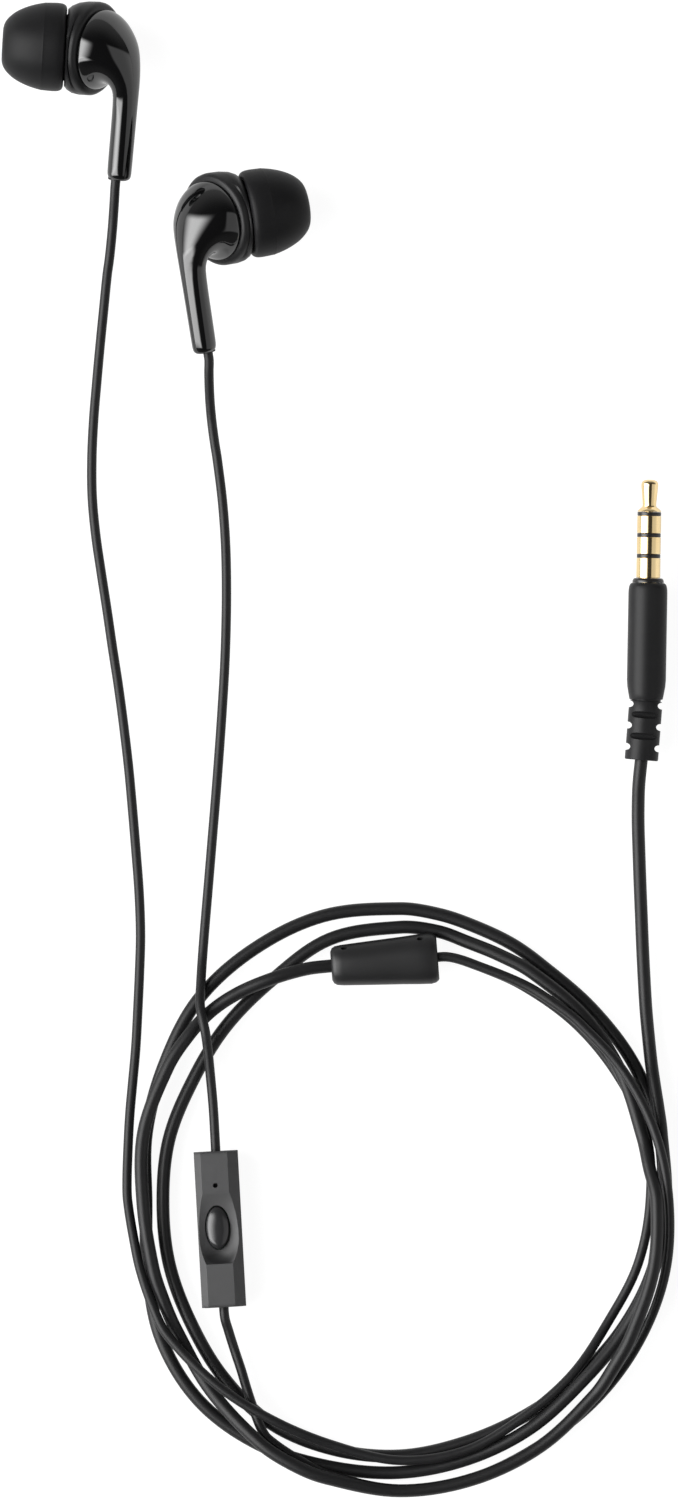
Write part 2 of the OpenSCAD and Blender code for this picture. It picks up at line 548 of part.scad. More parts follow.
// ---- the coil: stations of [angle, radius, height] round its centre, lifted where cords cross ----
COIL_C = [35.3, -148.6, 0];
main_stations = [
  [106, 35.5, 2.6], [112, 36.3, 3.15], [120, 37.2, 3.6], [128, 38.2, 2.9], [135, 38.8, 2.4],
  [142, 38.9, 3.25], [150, 38.8, 3.5], [165, 38.4, 3.5], [180, 37.2, 3.5], [195, 37.0, 3.5],
  [203, 37.1, 2.9], [210, 37.35, 2.0], [225, 38.7, 2.5], [240, 40.4, 4.4], [248, 41.1, 4.9],
  [255, 41.4, 4.6], [270, 41.9, 2.9], [285, 41.6, 2.65], [300, 40.9, 2.65], [315, 39.8, 3.6],
  [322, 39.2, 5.0], [330, 38.7, 6.0], [345, 38.0, 6.3], [360, 37.2, 6.4], [368, 36.45, 4.7],
  [375, 36.4, 3.1], [390, 37.1, 2.8], [405, 37.8, 3.1], [420, 38.3, 2.9], [428, 38.5, 2.3],
  [435, 38.8, 1.6], [442, 39.5, 1], [450, 39.7, 1], [465, 39.3, 1], [480, 37.0, 1], [495, 35.7, 1],
  [510, 34.7, 1], [525, 34.6, 1], [540, 34.3, 1], [555, 34.6, 1], [570, 35.0, 1], [585, 36.1, 1],
  [600, 37.2, 1], [615, 37.2, 1], [630, 36.9, 1], [645, 36.2, 1], [660, 36.0, 1], [675, 36.4, 1],
  [690, 37.2, 1], [705, 38.0, 1], [720, 38.2, 1], [735, 38.9, 1], [750, 39.3, 1], [765, 39.4, 1],
  [780, 40.0, 1], [787, 40.7, 1], [795, 41.3, 1], [802, 41.95, 1], [810, 42.4, 1], [825, 42.8, 1],
  [840, 42.2, 1], [855, 41.3, 1], [870, 39.4, 1], [885, 38.0, 1], [900, 36.75, 1], [915, 37.8, 1],
  [930, 39.9, 1], [945, 41.0, 1], [960, 40.7, 1], [975, 39.8, 1], [990, 39.3, 1], [1005, 38.6, 1.5],
  [1020, 37.9, 2.7], [1035, 37.1, 3.5], [1050, 37.5, 3.4], [1065, 38.1, 3.4], [1080, 38.5, 3.4],
  [1095, 39.2, 3.4], [1100, 39.8, 3.15]];
left_stations = [
  [169, 40.1, 0.75], [176, 39.6, 1.0], [180, 39.4, 1.3], [188, 38.9, 2.5], [195, 38.85, 3.2],
  [203, 38.85, 3.6], [210, 38.8, 3.9], [225, 37.5, 4.6], [240, 36.6, 4.6], [255, 36.6, 3.2],
  [270, 37.5, 2.85], [285, 37.3, 2.85], [300, 36.0, 3.1], [315, 35.4, 2.8], [330, 34.9, 1.0],
  [345, 35.7, 0.75], [360, 36.3, 0.75], [375, 37.0, 0.75], [390, 36.5, 0.75], [405, 36.2, 0.75],
  [420, 35.95, 0.8], [432, 35.95, 1.4]];
right_stations = [
  [241, 39.3, 2.85], [248, 40.1, 2.9], [255, 40.9, 2.6], [270, 41.7, 0.75], [285, 41.4, 0.75],
  [300, 40.7, 0.75], [315, 40.5, 1.0], [330, 40.2, 3.0], [345, 39.8, 4.6], [360, 38.95, 5.3],
  [375, 38.3, 5.2], [390, 37.5, 4.95], [405, 36.7, 4.6], [412, 36.4, 4.3], [420, 36.2, 3.7],
  [432, 35.95, 3.45]];
// the turns: one ring at each station, every 15 degrees or closer
function coil_path(s) = [for (v = s) COIL_C + [v[1] * cos(v[0]), v[1] * sin(v[0]), v[2]]];
remote_exit_path = [
  [9.76, -162.1, 2.55], [9.95, -165.3, 2.55], [10.5, -167.3, 1.9], [11.4, -170.2, 1.3],
  [12.4, -173.2, 2.0], [13.3, -176.2, 2.95], [14.4, -179.4, 2.95], [15.3, -181.6, 2.9]];
// the leads end side by side, one above the other, in the splitter's broad end
function splitter_entry(z) = [[42.37, -113.2, z], [38.98, -113.46, z]];
main_path = concat([[27.4, -114.33, 2.6]], coil_path(main_stations));
left_coil_path = concat(coil_path(left_stations), splitter_entry(LOW_Z));
right_coil_path = concat(remote_exit_path, coil_path(right_stations), splitter_entry(HIGH_Z));

// least gap of the coil to itself, between points more than a quarter turn apart
function gap_to_self(p, d, skip) = min([for (i = [0 : len(p) - 2]) for (j = [i + skip : len(p) - 1])
  min(norm(p[i] - p[j]), norm((p[i] + p[i + 1]) / 2 - p[j])) - d]);
echo(main_gap = gap_to_self(main_path, cord_d, 6));
echo(left_gap = gap_to_self(left_coil_path, lead_d, 6));
echo(right_gap = gap_to_self(right_coil_path, lead_d, 6));

module left_lead() color([0.1, 0.1, 0.11]) translate(ORIGIN) tube(left_lead_path, lead_d, 8);
module left_lead_coil() color([0.1, 0.1, 0.11]) translate(ORIGIN) tube(left_coil_path, lead_d, 6);
module right_lead_upper() color([0.1, 0.1, 0.11]) translate(ORIGIN) tube(right_lead_path, lead_d, 8);
module right_lead_coil() color([0.1, 0.1, 0.11]) translate(ORIGIN) tube(right_coil_path, lead_d, 6);
module main_cord_coil() color([0.1, 0.1, 0.11]) translate(ORIGIN) tube(main_path, cord_d, 6);
module main_cord_end() color([0.1, 0.1, 0.11]) translate(ORIGIN) tube(plug_cord_path, cord_d, 8);

left_ear_tip();
left_front_shell();
left_nozzle_mesh();
left_damper();
left_driver_frame();
left_diaphragm();
left_voice_coil();
left_magnet();
left_rear_shell();
left_grommet();
right_ear_tip();
right_front_shell();
right_nozzle_mesh();
right_damper();
right_driver_frame();
right_diaphragm();
right_voice_coil();
right_magnet();
right_rear_shell();
right_grommet();
remote_front();
remote_back();
remote_button();
remote_switch();
remote_board();
microphone();
mic_gasket();
splitter_top();
splitter_bottom();
splitter_crimp();
plug_tip();
plug_ring_1();
plug_ring_2();
plug_sleeve();
plug_insulator();
plug_collar();
plug_core();
plug_barrel();
plug_relief();
left_lead();
left_lead_coil();
right_lead_upper();
right_lead_coil();
main_cord_coil();
main_cord_end();
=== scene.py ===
"""Visual model of wired earphones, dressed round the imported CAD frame.

Sizes in the classes are in millimetres, and every mesh is made in metres, in the frame's own
axes: +Z up from the surface, +Y from the coiled cord towards the buds, +X to the right.
"""

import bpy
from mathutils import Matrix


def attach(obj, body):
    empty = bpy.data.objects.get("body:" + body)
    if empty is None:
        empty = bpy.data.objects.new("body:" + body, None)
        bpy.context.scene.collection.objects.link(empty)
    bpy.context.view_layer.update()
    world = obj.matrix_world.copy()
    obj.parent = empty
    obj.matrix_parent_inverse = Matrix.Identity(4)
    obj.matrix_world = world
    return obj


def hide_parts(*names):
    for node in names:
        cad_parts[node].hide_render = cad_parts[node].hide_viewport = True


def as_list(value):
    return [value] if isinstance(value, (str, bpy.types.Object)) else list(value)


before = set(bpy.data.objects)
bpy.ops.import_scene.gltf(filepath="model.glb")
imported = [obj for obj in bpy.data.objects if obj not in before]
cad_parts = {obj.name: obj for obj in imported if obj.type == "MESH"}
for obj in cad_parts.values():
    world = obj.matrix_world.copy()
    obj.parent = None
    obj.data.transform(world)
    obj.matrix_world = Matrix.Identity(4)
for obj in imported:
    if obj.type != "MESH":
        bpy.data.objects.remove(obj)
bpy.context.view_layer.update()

import logging
import math
from dataclasses import dataclass
from enum import Enum
from typing import Sequence

import bmesh
import bpy
from bpy.types import Node, NodeSocket, NodeTree, Object
from mathutils import Matrix, Vector

LOG = logging.getLogger("earphones")
MM = 0.001
ORIGIN = Vector((-0.11, 0.24, 0.0))

Point = tuple[float, float, float]
Pair = tuple[float, float]


class Body(Enum):
    """The moving bodies of the frame that pieces ride on."""

    MAIN = "earphones"
    LEFT_TIP = "left_tip"
    RIGHT_TIP = "right_tip"
    BUTTON = "button"


class Side(Enum):
    """The two ear buds."""

    LEFT = "left"
    RIGHT = "right"


def turn(axis: str, degrees: float) -> Matrix:
    """Returns a 4x4 rotation about one axis by an angle in degrees."""
    return Matrix.Rotation(math.radians(degrees), 4, axis)


def shift(x: float, y: float, z: float) -> Matrix:
    """Returns a 4x4 translation."""
    return Matrix.Translation((x, y, z))


# ---- nodes, and the groups shared by the finishes ----


@dataclass(frozen=True)
class NodeKit:
    """Adds nodes to one tree, each of them set and linked in one call.

    Attributes:
        tree: the node tree of a group, a material or the world.
    """

    tree: NodeTree

    def add(self, kind: str, inputs: dict[str | int, object] | None = None,
            **settings: object) -> Node:
        """Adds one node.

        Args:
            kind: Blender's node type.
            inputs: what each input gets, a socket to link or a value.
            **settings: the node's own settings.

        Returns:
            The new node.
        """
        node = self.tree.nodes.new(kind)
        for label, value in settings.items():
            setattr(node, label, value)
        for label, value in (inputs or {}).items():
            if isinstance(value, NodeSocket):
                self.tree.links.new(value, node.inputs[label])
            else:
                node.inputs[label].default_value = value
        return node

    def sums(self, operation: str, *values: NodeSocket | float) -> NodeSocket:
        """Returns the outcome of one sum of sockets and numbers."""
        return self.add("ShaderNodeMath", dict(enumerate(values)), operation=operation).outputs[0]

    def step(self, value: NodeSocket, low: float, high: float, start: float = 0.0,
             end: float = 1.0) -> NodeSocket:
        """Adds a smooth step.

        Args:
            value: what it follows.
            low: where it begins.
            high: where it is done.
            start: its outcome up to low.
            end: its outcome from high on.

        Returns:
            Its outcome.
        """
        ends = {"From Min": low, "From Max": high, "To Min": start, "To Max": end}
        return self.add("ShaderNodeMapRange", {"Value": value, **ends},
                        interpolation_type="SMOOTHSTEP").outputs["Result"]

    def noise(self, scale: NodeSocket, detail: float, roughness: float) -> NodeSocket:
        """Adds a noise on the piece's own coordinates.

        Args:
            scale: its cells per metre.
            detail: its finer layers.
            roughness: how strong they are.

        Returns:
            Its value.
        """
        place = self.add("ShaderNodeTexCoord").outputs["Object"]
        return self.add("ShaderNodeTexNoise", {
            "Vector": place, "Scale": scale, "Detail": detail,
            "Roughness": roughness}).outputs["Fac"]

    def mix(self, factor: NodeSocket, first: object, second: object) -> NodeSocket:
        """Returns a mix of two colours, each a socket or four values."""
        return self.add("ShaderNodeMix", {"Factor": factor, "A": first, "B": second},
                        data_type="RGBA").outputs["Result"]


@dataclass(frozen=True)
class GroupKit:
    """Builds the shader node groups that several finishes place with their own values."""

    def new(self, name: str, inputs: dict[str, float], outputs: Sequence[str]) -> NodeKit:
        """Makes an empty group with float sockets.

        Args:
            name: the group's name.
            inputs: its inputs with their default values.
            outputs: its outputs.

        Returns:
            A kit that adds the group's nodes.
        """
        tree = bpy.data.node_groups.new(name, "ShaderNodeTree")
        for label, value in inputs.items():
            socket = tree.interface.new_socket(label, in_out="INPUT",
                                               socket_type="NodeSocketFloat")
            socket.default_value = value
        for label in outputs:
            tree.interface.new_socket(label, in_out="OUTPUT", socket_type="NodeSocketFloat")
        return NodeKit(tree)

    def grain(self) -> NodeTree:
        """Builds a fine moulded grain on first use.

        Returns:
            The group, with a height and a value that varies round one.
        """
        found = bpy.data.node_groups.get("moulded_grain")
        if found:
            return found
        kit = self.new("moulded_grain", {"Scale": 9000.0, "Depth": 1.0, "Variation": 0.1},
                       ("Height", "Value"))
        given = kit.add("NodeGroupInput").outputs
        fine = kit.noise(given["Scale"], 3.0, 0.6)
        spread = kit.add("ShaderNodeMapRange", {
            "Value": fine, "From Min": 0.25, "From Max": 0.75,
            "To Min": kit.sums("SUBTRACT", 1.0, given["Variation"]),
            "To Max": kit.sums("ADD", 1.0, given["Variation"])})
        kit.add("NodeGroupOutput", {"Height": kit.sums("MULTIPLY", fine, given["Depth"]),
                                    "Value": spread.outputs["Result"]})
        return kit.tree

    def handling(self) -> NodeTree:
        """Builds the broad uneven patches that handling leaves on first use.

        Returns:
            The group, with a mask from zero to one.
        """
        found = bpy.data.node_groups.get("handling_patches")
        if found:
            return found
        kit = self.new("handling_patches", {"Scale": 260.0, "Amount": 1.0}, ("Mask",))
        given = kit.add("NodeGroupInput").outputs
        broad = kit.step(kit.noise(given["Scale"], 4.0, 0.55), 0.42, 0.72)
        kit.add("NodeGroupOutput", {"Mask": kit.sums("MULTIPLY", broad, given["Amount"])})
        return kit.tree


@dataclass(frozen=True)
class PaintedShadePlace:
    """A place on a piece painted a darker colour as painted shade, which fades out towards an
    oval's edge.

    Attributes:
        centre: the oval's centre.
        radii: its three radii.
        heading: its turn about Z, in degrees.
        inner: how far out it shows fully, as a part of the radii.
        colour: the painted shade's colour there, linear.
    """

    centre: Point
    radii: Point
    heading: float
    inner: float
    colour: Point

    def mask(self, kit: NodeKit) -> NodeSocket:
        """Makes the place's mask.

        Args:
            kit: adds nodes to the material.

        Returns:
            The mask, one in the place and zero elsewhere.
        """
        # Mask of the painted shade: one inside the oval, fading to zero at its edge.
        own = kit.add("ShaderNodeMapping", {
            "Vector": kit.add("ShaderNodeTexCoord").outputs["Object"],
            "Location": Vector(self.centre) * MM, "Scale": Vector(self.radii) * MM,
            "Rotation": (0.0, 0.0, math.radians(self.heading))}, vector_type="TEXTURE")
        far = kit.add("ShaderNodeVectorMath", {0: own.outputs["Vector"]}, operation="LENGTH")
        return kit.step(far.outputs["Value"], self.inner, 1.0, 1.0, 0.0)


@dataclass(frozen=True)
class Finish:
    """A procedural finish: a base colour worn towards a second one, with grain and gloss.

    Attributes:
        name: material name.
        base: main colour, linear.
        worn: colour that the handled patches go towards, linear.
        roughness: mean roughness.
        grain: grain cells per metre.
        depth: grain height in metres.
        metallic: zero or one.
        coat: clear coat weight.
        coat_roughness: roughness of the coat.
        specular: specular level.
        patches: how far the handled patches show.
        variation: how far roughness varies with the grain.
        dark: a place painted darker as painted shade, if there is one.
    """

    name: str
    base: Point
    worn: Point
    roughness: float
    grain: float = 9000.0
    depth: float = 4e-6
    metallic: float = 0.0
    coat: float = 0.0
    coat_roughness: float = 0.05
    specular: float = 0.5
    patches: float = 0.5
    variation: float = 0.12
    dark: PaintedShadePlace | None = None

    def build(self) -> bpy.types.Material:
        """Builds the material on first use.

        Returns:
            The finish's material.
        """
        found = bpy.data.materials.get(self.name)
        if found:
            return found
        material = bpy.data.materials.new(self.name)
        material.use_nodes = True
        material.node_tree.nodes.clear()
        kit = NodeKit(material.node_tree)
        grain = kit.add("ShaderNodeGroup", {
            "Scale": self.grain, "Depth": 1.0, "Variation": self.variation},
            node_tree=GroupKit().grain()).outputs
        patches = kit.add("ShaderNodeGroup", {"Amount": self.patches},
                          node_tree=GroupKit().handling()).outputs
        tint = kit.mix(patches["Mask"], (*self.base, 1.0), (*self.worn, 1.0))
        # Painted shade: darkens the base colour inside the dark place's oval.
        if self.dark:
            tint = kit.mix(self.dark.mask(kit), tint, (*self.dark.colour, 1.0))
        bump = kit.add("ShaderNodeBump", {"Distance": self.depth, "Height": grain["Height"]})
        shader = kit.add("ShaderNodeBsdfPrincipled", {
            "Base Color": tint, "Metallic": self.metallic,
            "Roughness": kit.sums("MULTIPLY", grain["Value"], self.roughness),
            "Normal": bump.outputs["Normal"], "Coat Weight": self.coat,
            "Coat Roughness": self.coat_roughness, "Specular IOR Level": self.specular})
        kit.add("ShaderNodeOutputMaterial", {"Surface": shader.outputs["BSDF"]})
        return material


SILICONE = Finish("soft_silicone", (0.0085, 0.0085, 0.009), (0.012, 0.012, 0.0125), 0.46,
                  grain=14000.0, depth=3e-6, specular=0.14, patches=0.6)
SATIN_RING = Finish("satin_ring_moulding", (0.012, 0.012, 0.0125), (0.016, 0.016, 0.0165), 0.36,
                    grain=16000.0, depth=2e-6, specular=0.25)
GLOSS_SHELL = Finish("gloss_black_moulding", (0.0022, 0.0022, 0.0024), (0.003, 0.003, 0.0032),
                     0.06, grain=1500.0, depth=4e-7, specular=0.85, patches=0.3, variation=0.2)
CORD_JACKET = Finish("elastomer_cord_jacket", (0.011, 0.011, 0.0115), (0.015, 0.015, 0.0155),
                     0.4, grain=7000.0, specular=0.28)
# Painted shade: darkens the remote's thumb hollow round its deepest, lower end, where the hollow
# falls into shade.
THUMB_HOLLOW_SHADE = PaintedShadePlace((9.5, -156.98, 3.9), (3.4, 3.5, 1.25), 3.14, 0.45,
                         (0.017, 0.017, 0.0175))
REMOTE_BODY = Finish("fine_texture_moulding", (0.052, 0.052, 0.053), (0.059, 0.059, 0.06), 0.55,
                     grain=11000.0, depth=1e-5, variation=0.15, dark=THUMB_HOLLOW_SHADE)
REMOTE_BUTTON = Finish("polished_button", (0.02, 0.02, 0.021), (0.026, 0.026, 0.027), 0.22,
                       grain=6000.0, depth=1e-6, coat=0.2, coat_roughness=0.1)
SPLITTER_BODY = Finish("satin_splitter_moulding", (0.01, 0.01, 0.0105), (0.014, 0.014, 0.0145),
                       0.42, grain=12000.0, specular=0.45)
PLUG_BODY = Finish("satin_overmoulding", (0.014, 0.014, 0.0145), (0.019, 0.019, 0.0195), 0.36,
                   grain=12000.0, specular=0.15)
GOLD = Finish("polished_gold_plating", (0.99, 0.77, 0.42), (0.95, 0.7, 0.34), 0.12,
              grain=5000.0, depth=4e-7, metallic=1.0, variation=0.2)
INSULATOR = Finish("smooth_insulator", (0.01, 0.009, 0.009), (0.016, 0.014, 0.013), 0.25,
                   depth=1e-6)
STEEL = Finish("plated_steel", (0.52, 0.52, 0.54), (0.42, 0.42, 0.44), 0.28, grain=7000.0,
               depth=2e-6, metallic=1.0)
MESH_WIRE = Finish("woven_steel_mesh", (0.42, 0.42, 0.44), (0.3, 0.3, 0.32), 0.36,
                   grain=12000.0, depth=6e-6, metallic=1.0)
FOAM = Finish("open_cell_foam", (0.09, 0.09, 0.1), (0.14, 0.14, 0.15), 0.9, grain=6000.0,
              depth=5e-5, variation=0.08)
DRIVER_FRAME = Finish("driver_frame_moulding", (0.16, 0.16, 0.17), (0.2, 0.2, 0.21), 0.5)
FILM = Finish("formed_film", (0.62, 0.6, 0.54), (0.55, 0.52, 0.45), 0.3, grain=4000.0,
              depth=2e-6, coat=0.4)
COPPER = Finish("enamelled_winding", (0.68, 0.28, 0.12), (0.5, 0.19, 0.08), 0.3, grain=15000.0,
                depth=1e-5, metallic=1.0, coat=0.5)
BOARD = Finish("solder_mask", (0.01, 0.09, 0.035), (0.015, 0.12, 0.05), 0.35, grain=8000.0,
               depth=3e-6, coat=0.4)


# ---- modelling, ring by ring ----


class Modeller:
    """Builds one closed mesh from rings that are added at their size and place and bridged."""

    def __init__(self, name: str, sides: int, place: Matrix) -> None:
        """Starts an empty mesh at the origin and enters edit mode.

        Args:
            name: the piece's name.
            sides: vertices in each ring.
            place: where the piece lies, in millimetres.
        """
        bpy.ops.object.select_all(action="DESELECT")
        bpy.ops.object.add(type="MESH")
        self.piece: Object = bpy.context.object
        self.piece.name = self.piece.data.name = name
        self.sides = sides
        self.place = place
        self.count = 0
        bpy.ops.object.mode_set(mode="EDIT")
        bpy.context.tool_settings.mesh_select_mode = (False, True, False)

    def ring(self, centre: Sequence[float], across: Sequence[float],
             up: Sequence[float]) -> None:
        """Adds one elliptical ring, in millimetres.

        Args:
            centre: its centre.
            across: its first half-axis.
            up: its second half-axis.
        """
        middle = (self.place @ Vector(centre)) * MM
        turned = self.place.to_3x3() * MM
        a, b = turned @ Vector(across), turned @ Vector(up)
        axes = Matrix((a.normalized(), b.normalized(), a.cross(b).normalized())).transposed()
        bpy.ops.mesh.primitive_circle_add(vertices=self.sides, radius=a.length, location=middle,
                                          rotation=axes.to_euler())
        squeeze = b.length / a.length - 1
        if abs(squeeze) > 1e-4:
            bm = bmesh.from_edit_mesh(self.piece.data)
            bm.verts.ensure_lookup_table()
            for vertex in bm.verts[self.count * self.sides:]:
                vertex.co += b.normalized() * (vertex.co - middle).dot(b.normalized()) * squeeze
            bmesh.update_edit_mesh(self.piece.data)
        self.count += 1

    def outline(self, points: Sequence[Sequence[float]]) -> None:
        """Adds one ring and moves its vertices.

        Args:
            points: where they go, in millimetres.
        """
        bpy.ops.mesh.primitive_circle_add(vertices=self.sides, radius=MM)
        bm = bmesh.from_edit_mesh(self.piece.data)
        bm.verts.ensure_lookup_table()
        first = self.count * self.sides
        for k, point in enumerate(points):
            bm.verts[first + k].co = (self.place @ Vector(point)) * MM
        bmesh.update_edit_mesh(self.piece.data)
        self.count += 1

    def pick(self, *rings: int) -> None:
        """Selects the edges that lie in some rings, and nothing else.

        Args:
            *rings: the rings' numbers.
        """
        wanted = {r % self.count for r in rings}
        bm = bmesh.from_edit_mesh(self.piece.data)
        for part in (*bm.faces, *bm.edges, *bm.verts):
            part.select = False
        for edge in bm.edges:
            k, m = (v.index // self.sides for v in edge.verts)
            if k == m and k in wanted:
                edge.select_set(True)
        bm.select_flush_mode()
        bmesh.update_edit_mesh(self.piece.data)

    def plane(self, bm: bmesh.types.BMesh, ring: int) -> tuple[list, Vector]:
        """Finds a ring and the direction that it faces.

        Args:
            bm: the mesh that is open.
            ring: the ring's number.

        Returns:
            Its vertices and its normal.
        """
        bm.verts.ensure_lookup_table()
        first = ring % self.count * self.sides
        mine = bm.verts[first:first + self.sides]
        a, b, c = (mine[k * self.sides // 3].co for k in range(3))
        return mine, (b - a).cross(c - a).normalized()

    def lift(self, ring: int, height: float) -> None:
        """Moves one ring out of its plane.

        Args:
            ring: the ring's number.
            height: how far, in metres.
        """
        bm = bmesh.from_edit_mesh(self.piece.data)
        mine, normal = self.plane(bm, ring)
        for vertex in mine:
            vertex.co += normal * height
        bmesh.update_edit_mesh(self.piece.data)

    def level(self, ring: int) -> bool:
        """Finds whether a ring and the next one lie in one plane.

        Args:
            ring: the ring's number.

        Returns:
            True where they do.
        """
        bm = bmesh.from_edit_mesh(self.piece.data)
        mine, normal = self.plane(bm, ring)
        after = bm.verts[(ring + 1) % self.count * self.sides]
        return abs(normal.dot(after.co - mine[0].co)) < 1e-6

    def bridge(self, closed: bool) -> None:
        """Bridges each ring to the next.

        Of two rings in one plane the second is out of it meanwhile, so that they run one way.

        Args:
            closed: whether the last ring is bridged to the first.
        """
        for k in range(self.count if closed else self.count - 1):
            height = 0.1 * MM if self.level(k) else 0.0
            self.lift(k + 1, height)
            self.pick(k, k + 1)
            bpy.ops.mesh.bridge_edge_loops()
            self.lift(k + 1, -height)

    def solid(self, angle: float = 40.0, closed: bool = False) -> Object:
        """Bridges the rings, closes the mesh, turns its normals outward and shades it.

        Args:
            angle: edges sharper than this stay sharp, in degrees.
            closed: whether the rings close on themselves, or the two ends get a cap.

        Returns:
            The finished piece.
        """
        self.bridge(closed)
        for ring in () if closed else (0, -1):
            self.pick(ring)
            bpy.ops.mesh.edge_face_add()
        bpy.ops.mesh.select_all(action="SELECT")
        bpy.ops.mesh.remove_doubles(threshold=1e-7)
        bpy.ops.mesh.normals_make_consistent(inside=False)
        bpy.ops.object.mode_set(mode="OBJECT")
        bpy.ops.object.shade_smooth_by_angle(angle=math.radians(angle))
        return self.piece


def bar(name: str, sides: int, place: Matrix, ends: Sequence[Sequence[float]],
        across: Sequence[float], up: Sequence[float]) -> Object:
    """Makes a straight bar, which is a tool to cut with.

    Args:
        name: the tool's name.
        sides: vertices round it.
        place: where it lies, in millimetres.
        ends: centres of its two ends.
        across: the first half-axis of its section.
        up: the second half-axis.

    Returns:
        The bar.
    """
    shape = Modeller(name, sides, place)
    for centre in ends:
        shape.ring(centre, across, up)
    return shape.solid()


def apply_modifier(piece: Object, kind: str, **values: object) -> None:
    """Adds a modifier with the values given and applies it.

    Args:
        piece: the mesh that gets it.
        kind: Blender's modifier type.
        **values: its settings.
    """
    bpy.ops.object.select_all(action="DESELECT")
    piece.select_set(True)
    bpy.context.view_layer.objects.active = piece
    modifier = piece.modifiers.new(kind.lower(), kind)
    for label, value in values.items():
        setattr(modifier, label, value)
    bpy.ops.object.modifier_apply(modifier=modifier.name)


def subdivide(piece: Object) -> None:
    """Smooths a piece by one level of subdivision and applies it."""
    apply_modifier(piece, "SUBSURF", levels=1, render_levels=1)


def cut(piece: Object, angle: float, tools: Sequence[Object]) -> None:
    """Takes the tools' volumes out of a piece, removes the tools and shades the piece again.

    Args:
        piece: what is cut.
        angle: edges sharper than this stay sharp, in degrees.
        tools: closed meshes.
    """
    for tool in tools:
        apply_modifier(piece, "BOOLEAN", operation="DIFFERENCE", solver="EXACT", object=tool)
        bpy.data.objects.remove(tool, do_unlink=True)
    bpy.ops.object.shade_smooth_by_angle(angle=math.radians(angle))


def dress(piece: Object, finish: Finish, body: Body,
          nodes: Sequence[str] = ()) -> Object:
    """Gives a new piece its finish, body and slot, and hides the nodes it stands for.

    Args:
        piece: the new piece.
        finish: what it is made of.
        body: the body that it rides on.
        nodes: CAD nodes that it replaces.

    Returns:
        The same piece.
    """
    piece.data.materials.clear()
    piece.data.materials.append(finish.build())
    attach(piece, body.value)
    if nodes:
        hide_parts(*nodes)
    LOG.info("%s: %s", piece.name, finish.name)
    return piece


def paint(node: str, finish: Finish) -> Object:
    """Gives a CAD node that stays its finish in every slot.

    Args:
        node: the node's name.
        finish: what it is made of.

    Returns:
        The node's object.
    """
    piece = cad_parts[node]
    if not piece.material_slots:
        piece.data.materials.append(finish.build())
    for holder in piece.material_slots:
        holder.material = finish.build()
    LOG.info("%s: %s", node, finish.name)
    return piece


# ---- the picture: surface, light and camera ----


@dataclass(frozen=True)
class Panel:
    """A soft panel of the room, placed by degrees from straight overhead.

    Attributes:
        across: where it starts and ends towards +X: begins, full, full until, gone.
        along: the same towards +Y.
        power: its brightness.
        right_lean: how far its +X edge leans towards +X for each degree towards +Y.
        top_lean: how far its +Y edge leans towards -Y for each degree towards +X.
    """

    across: tuple[float, float, float, float]
    along: tuple[float, float, float, float]
    power: float
    right_lean: float = 0.0
    top_lean: float = 0.0


